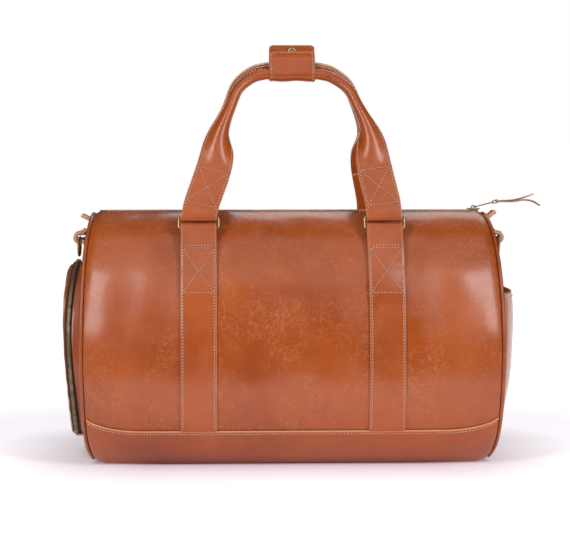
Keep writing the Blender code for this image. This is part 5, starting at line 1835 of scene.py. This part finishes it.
# %% Shoe pocket's slider
turn = POCKET_SWEEP / 2 - SLIDER_LENGTH / POCKET_RADIUS
outward = Vector((0.0, math.sin(turn), math.cos(turn)))
onward = Vector((0.0, math.cos(turn), -math.sin(turn)))
seat = Matrix((onward, outward.cross(onward), outward)).transposed().to_4x4()
seat.translation = Vector(pocket_place(turn, POCKET_RADIUS, POCKET_ZIP_X))
pocket_pivot = slider("pocket_zip_slider", seat, "pocket_slider")
hang = seat.copy()
hang.translation = pocket_pivot
pull("pocket_zip_pull", hang @ Matrix.Rotation(-PULL_REST, 4, "Y"), "pocket_pull")
print("pocket pull hangs from", [round(c, 4) for c in pocket_pivot])

# %% [markdown]
# ## Slip pocket, tabs and strap rings
#
# The right end has an open pocket for papers. Its free top edge is raw and stitched. Above both
# pockets a folded tab holds a D-ring for a shoulder strap: the leather goes under the ring's bar,
# round it and back down to the end panel.

# %% Slip pocket
SLIP_HALF_WIDTH = 0.096
SLIP_BOTTOM = 0.020
SLIP_TOP = 0.1935
SLIP_FOOT = 0.0012
SLIP_BULGE = 0.0150
SLIP_WAVE = 0.0009
SLIP_HEM_ROW = 58

rise, spread = np.meshgrid(np.linspace(0, 1, 61), np.linspace(-1, 1, 61), indexing="ij")
z = SLIP_BOTTOM + rise * (SLIP_TOP - SLIP_BOTTOM)
half = np.minimum(SLIP_HALF_WIDTH, np.abs(section(np.interp(-z, -PLACE[:, 1], DISTANCE))[0]))
y = spread * half * (1 - 0.25 * (1 - rise) ** 4)
full = np.sin(0.62 * math.pi * rise**0.8) * (1 - np.abs(spread) ** 3)
waves = SLIP_WAVE * np.sin(6 * spread + 5 * rise) * np.sin(9 * rise + 0.4) * (1 - spread**2)
x = end_face_x(y, z) + GAP + LEATHER + SLIP_FOOT * rise + SLIP_BULGE * full + waves
grid = sheet_of(x, y, z)
lip = np.zeros(grid.shape[:2])
lip[-2:] = 0.7
made = leather_sheet(
    "slip_pocket_leather", grid, LEATHER, [END_LEATHER, RAW_EDGE], "bag", (0, 0, POCKET_MIDDLE),
    edge=lip,
)
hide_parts("slip_pocket")
out = normals_of(grid, (1, 0, 0))
hem = mirrored([(SLIP_HEM_ROW, -0.97)])
foot = mirrored([(SLIP_HEM_ROW, -0.955), (20, -0.955), (4, -0.93), (1.6, -0.80)])
lines = [seam_on(grid, out, hem, 0.0, 120), seam_on(grid, out, foot, 0.0, 60)]
sew("slip_pocket_thread", lines, "bag", size=0.9)

# %% Strap tabs and D-rings
TAB_WIDTH = 0.028
TAB_BOTTOM = 0.2455
TAB_TOP = 0.2633
TAB_LEATHER_THICKNESS = 0.0042
TAB_CROWN = 0.0064
D_WIRE = 0.0035
D_WIDTH = 0.036
D_DROP = 0.020
D_BAR_HEIGHT = 0.2525
D_BAR_X = 0.24392
BACK_LIFT = 0.0035
tab_seat = float(max(end_face_x(0.0, TAB_BOTTOM), end_face_x(0.0, TAB_TOP))) + GAP + LEATHER / 2
loop = D_WIRE / 2 + RUN_CLEAR + TAB_LEATHER_THICKNESS / 2
under = D_BAR_HEIGHT - loop
over = D_BAR_HEIGHT + TAB_CROWN
near = curve_through([
    (tab_seat, TAB_BOTTOM), (tab_seat + 0.0032, TAB_BOTTOM + 0.0036),
    (D_BAR_X - 0.0016, under), (D_BAR_X, under),
], 6)
far = curve_through([
    (D_BAR_X, over), (D_BAR_X - 0.0040, over + 0.0012),
    (tab_seat + 0.0012, TAB_TOP - 0.0014), (tab_seat, TAB_TOP),
], 6)
nose_x, nose_z = arc((0.0, 0.0), 1.0, 15, -math.pi / 2, math.pi).T
nose_z = D_BAR_HEIGHT + nose_z * np.where(nose_z > 0, TAB_CROWN, loop)
line = np.vstack((near[:-1], np.column_stack((D_BAR_X + loop * nose_x, nose_z)), far[1:]))
tab_x, tab_z = line[:, :1], line[:, 1:]
across = np.linspace(-TAB_WIDTH / 2, TAB_WIDTH / 2, 11)
sag = np.maximum(0.0, tab_z - D_BAR_HEIGHT - loop)
lift = BACK_LIFT * np.clip((D_BAR_X - 0.0020 - tab_x) / 0.0040, 0, 1) * (tab_z < D_BAR_HEIGHT)
tab_z = tab_z + (lift - sag) * np.clip(across / (TAB_WIDTH / 2), 0, 1) ** 2
turns = np.linspace(0, math.pi, 33)
ring_y = np.copysign(np.abs(np.cos(turns)) ** 0.9, np.cos(turns)) * D_WIDTH / 2
ring_z = D_BAR_HEIGHT - D_DROP * np.maximum(0.0, np.sin(turns)) ** 0.8
for name, side in (("left", -1), ("right", 1)):
    grid = sheet_of(side * tab_x, across, tab_z)
    made = strip_of_leather(
        "tab_" + name, grid, TAB_LEATHER_THICKNESS * LAYER_FILL, [TAB_LEATHER_PAINTED_HIGHLIGHT, RAW_EDGE], "bag",
        edge=worn_sides(grid),
    )
    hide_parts("strap_tab_" + name)
    "strap_tab_" + name
    line = sheet_of(side * D_BAR_X, ring_y, ring_z)
    body = name + "_strap_ring"
    made = tube_along("d_ring_bent_" + name, line, D_WIRE / 2, OLD_BRASS, body, 5)
    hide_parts("d_ring_" + name)
    "d_ring_" + name
print("D-rings hang at", D_BAR_X, "m from the middle,", D_BAR_HEIGHT, "m high")

# %% [markdown]
# ## Inside
#
# The lining is a cloth bag sewn in under the zip, and a board keeps the base flat. The board, the
# rope cores and the sliders' lower plates keep their solids and get better finishes.

# %% Lining
LINING_OUT = -0.0045
LINING_CLOTH_THICKNESS = 0.0010
LINING_SHARE = 0.965
LINING_FOLD = 0.0012
lining_alongs = np.linspace(-LINING_SHARE, LINING_SHARE, 49)
around = np.linspace(TAPE_HALF_WIDTH, 2 * HALF_ROUND - TAPE_HALF_WIDTH, 97)[:, None]
grid = skin(lining_alongs, around, LINING_OUT - 0.0004)
folds = LINING_FOLD * (1 + np.sin(70 * around + 5 * lining_alongs))
outward = unit((grid - (0.0, 0.0, RIM_MIDDLE)) * (0.0, 1.0, 1.0))
grid = grid - folds[..., None] * outward
cloth = [LINING_CLOTH, LINING_CLOTH]
made = leather_sheet("lining_wall", grid, LINING_CLOTH_THICKNESS, cloth, "bag", bevel=0.0)
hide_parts("lining")
for name, side in (("left", -1), ("right", 1)):
    out, turn = on_disc(25)
    x, y, z = np.moveaxis(
        skin(side * LINING_SHARE, turn / math.pi * HALF_ROUND, LINING_OUT - 0.0006), -1, 0)
    grid = sheet_of(x, out * y, RIM_MIDDLE + out * (z - RIM_MIDDLE))
    made = leather_sheet(
        "lining_end_" + name, grid, LINING_CLOTH_THICKNESS, cloth, "bag", bevel=0.0)
    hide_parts("lining")


def dressed(name, finish):
    """A solid that stays, with a better finish."""
    solid = frame["nodes"][name]
    solid.data.materials.clear()
    solid.data.materials.append(finish)
    return solid


dressed("base_board", BOARD)
for name in ("front_handle_core", "back_handle_core"):
    dressed(name, ROPE)
for name in ("main_zip_slider_base", "pocket_zip_slider_base"):
    dressed(name, OLD_BRASS)
print("solids that stay: the board, two rope cores and two slider plates")

# %% [markdown]
# ## Floor and light
#
# The floor is white paper that glows, which is painted light. The glow rises with the distance from the
# bag, so that the floor joins the white sky without a line and only the contact shadow is left; it
# also lights the bag from below and shows as a pale reflection in the lower leather. Close to the bag
# the glow falls away, which paints the contact shadow darker and lilac over the shadow that the lamps
# cast. Softboxes stand at the front left and front right for the highlights near both ends. One hangs
# high in front and one straight above, and one lights the back. The room round them is dim, so that
# the leather stays deep.

# %% Floor
FLOOR_REACH = 9.0
FLOOR_FRONT = 0.62
FLOOR_DROP = 0.0004
FOOT_HALF = (-0.15, -0.085, 0.0)
SHADOW_REACH = 0.20
WHITE_FROM_TO = (0.30, 0.90)
SHADOW_GLOW = (0.02, 0.01, 0.03)
PAPER_GLOW = (0.58, 0.57, 0.59)
# The paper is tinted lilac so that the contact shadow comes out lilac where the glow is low: part of the
# painted shadow.
PAPER = (0.88, 0.84, 0.90, 1.0)
paper, paper_place, plug_paper = finish_of("floor paper")
beside = paper_place.vector("ABSOLUTE", paper_place).shift(FOOT_HALF)
beside = beside.vector("MAXIMUM", beside, (0.0, 0.0, 0.0)).stretch(1.0, 1.0, 0.0)
distance = beside.vector("LENGTH", beside, out=1)
# Painted contact shadow: within SHADOW_REACH of the bag's footprint the glow falls to SHADOW_GLOW, and
# further out it rises to PAPER_GLOW.
near = distance.above(0.0, SHADOW_REACH).mix(SHADOW_GLOW, PAPER_GLOW)
plug_paper(
    Base_Color=PAPER, Roughness=0.9, Emission_Strength=1.0,
    Emission_Color=distance.above(*WHITE_FROM_TO).mix(near, (1.0, 1.0, 1.0)),
)
corners = [(-FLOOR_REACH, -FLOOR_FRONT), (FLOOR_REACH, -FLOOR_FRONT), (FLOOR_REACH, FLOOR_REACH),
           (-FLOOR_REACH, FLOOR_REACH)]
floor = piece("floor", [(x, y, -FLOOR_DROP) for x, y in corners], [(0, 1, 2, 3)], [paper], None)
print("floor reaches", FLOOR_REACH, "m")

# %% Light
AMBIENT = 0.05
world = bpy.data.worlds.new("studio")
world.use_nodes = True
bpy.context.scene.world = world
nodes, links = world.node_tree.nodes, world.node_tree.links
background = nodes["Background"]
rays = Look(world.node_tree, nodes.new("ShaderNodeLightPath").outputs["Is Camera Ray"])
sky = rays.maths("MULTIPLY_ADD", rays, 1.0 - AMBIENT, AMBIENT)
links.new(sky.socket, background.inputs["Strength"])
background.inputs["Color"].default_value = (1.0, 1.0, 1.0, 1.0)


def softbox(name, turn, rise, distance, width, height, power, aim=(0, 0, 0.16)):
    """A rectangular lamp at a turn and a rise round the bag, in degrees."""
    light = bpy.data.lights.new(name, "AREA")
    light.shape = "RECTANGLE"
    light.size, light.size_y, light.energy = width, height, power
    return aimed(bpy.data.objects.new(name, light), turn, rise, distance, aim)


softbox("left softbox", -31, 29, 1.8, 0.46, 1.4, 15)
softbox("right softbox", 34, 29, 1.8, 0.46, 1.4, 16)
softbox("front softbox", 0, 58, 2.0, 2.4, 0.9, 5)
softbox("top softbox", 0, 82, 1.9, 1.6, 0.7, 3)
softbox("back softbox", 165, 40, 2.0, 1.2, 0.8, 4)
print("lamps:", len(bpy.data.lights))

# %% [markdown]
# ## The end
#
# The last cell prints how many stitches were sewn.

# %% Finish
print("stitches:", stitch_count)
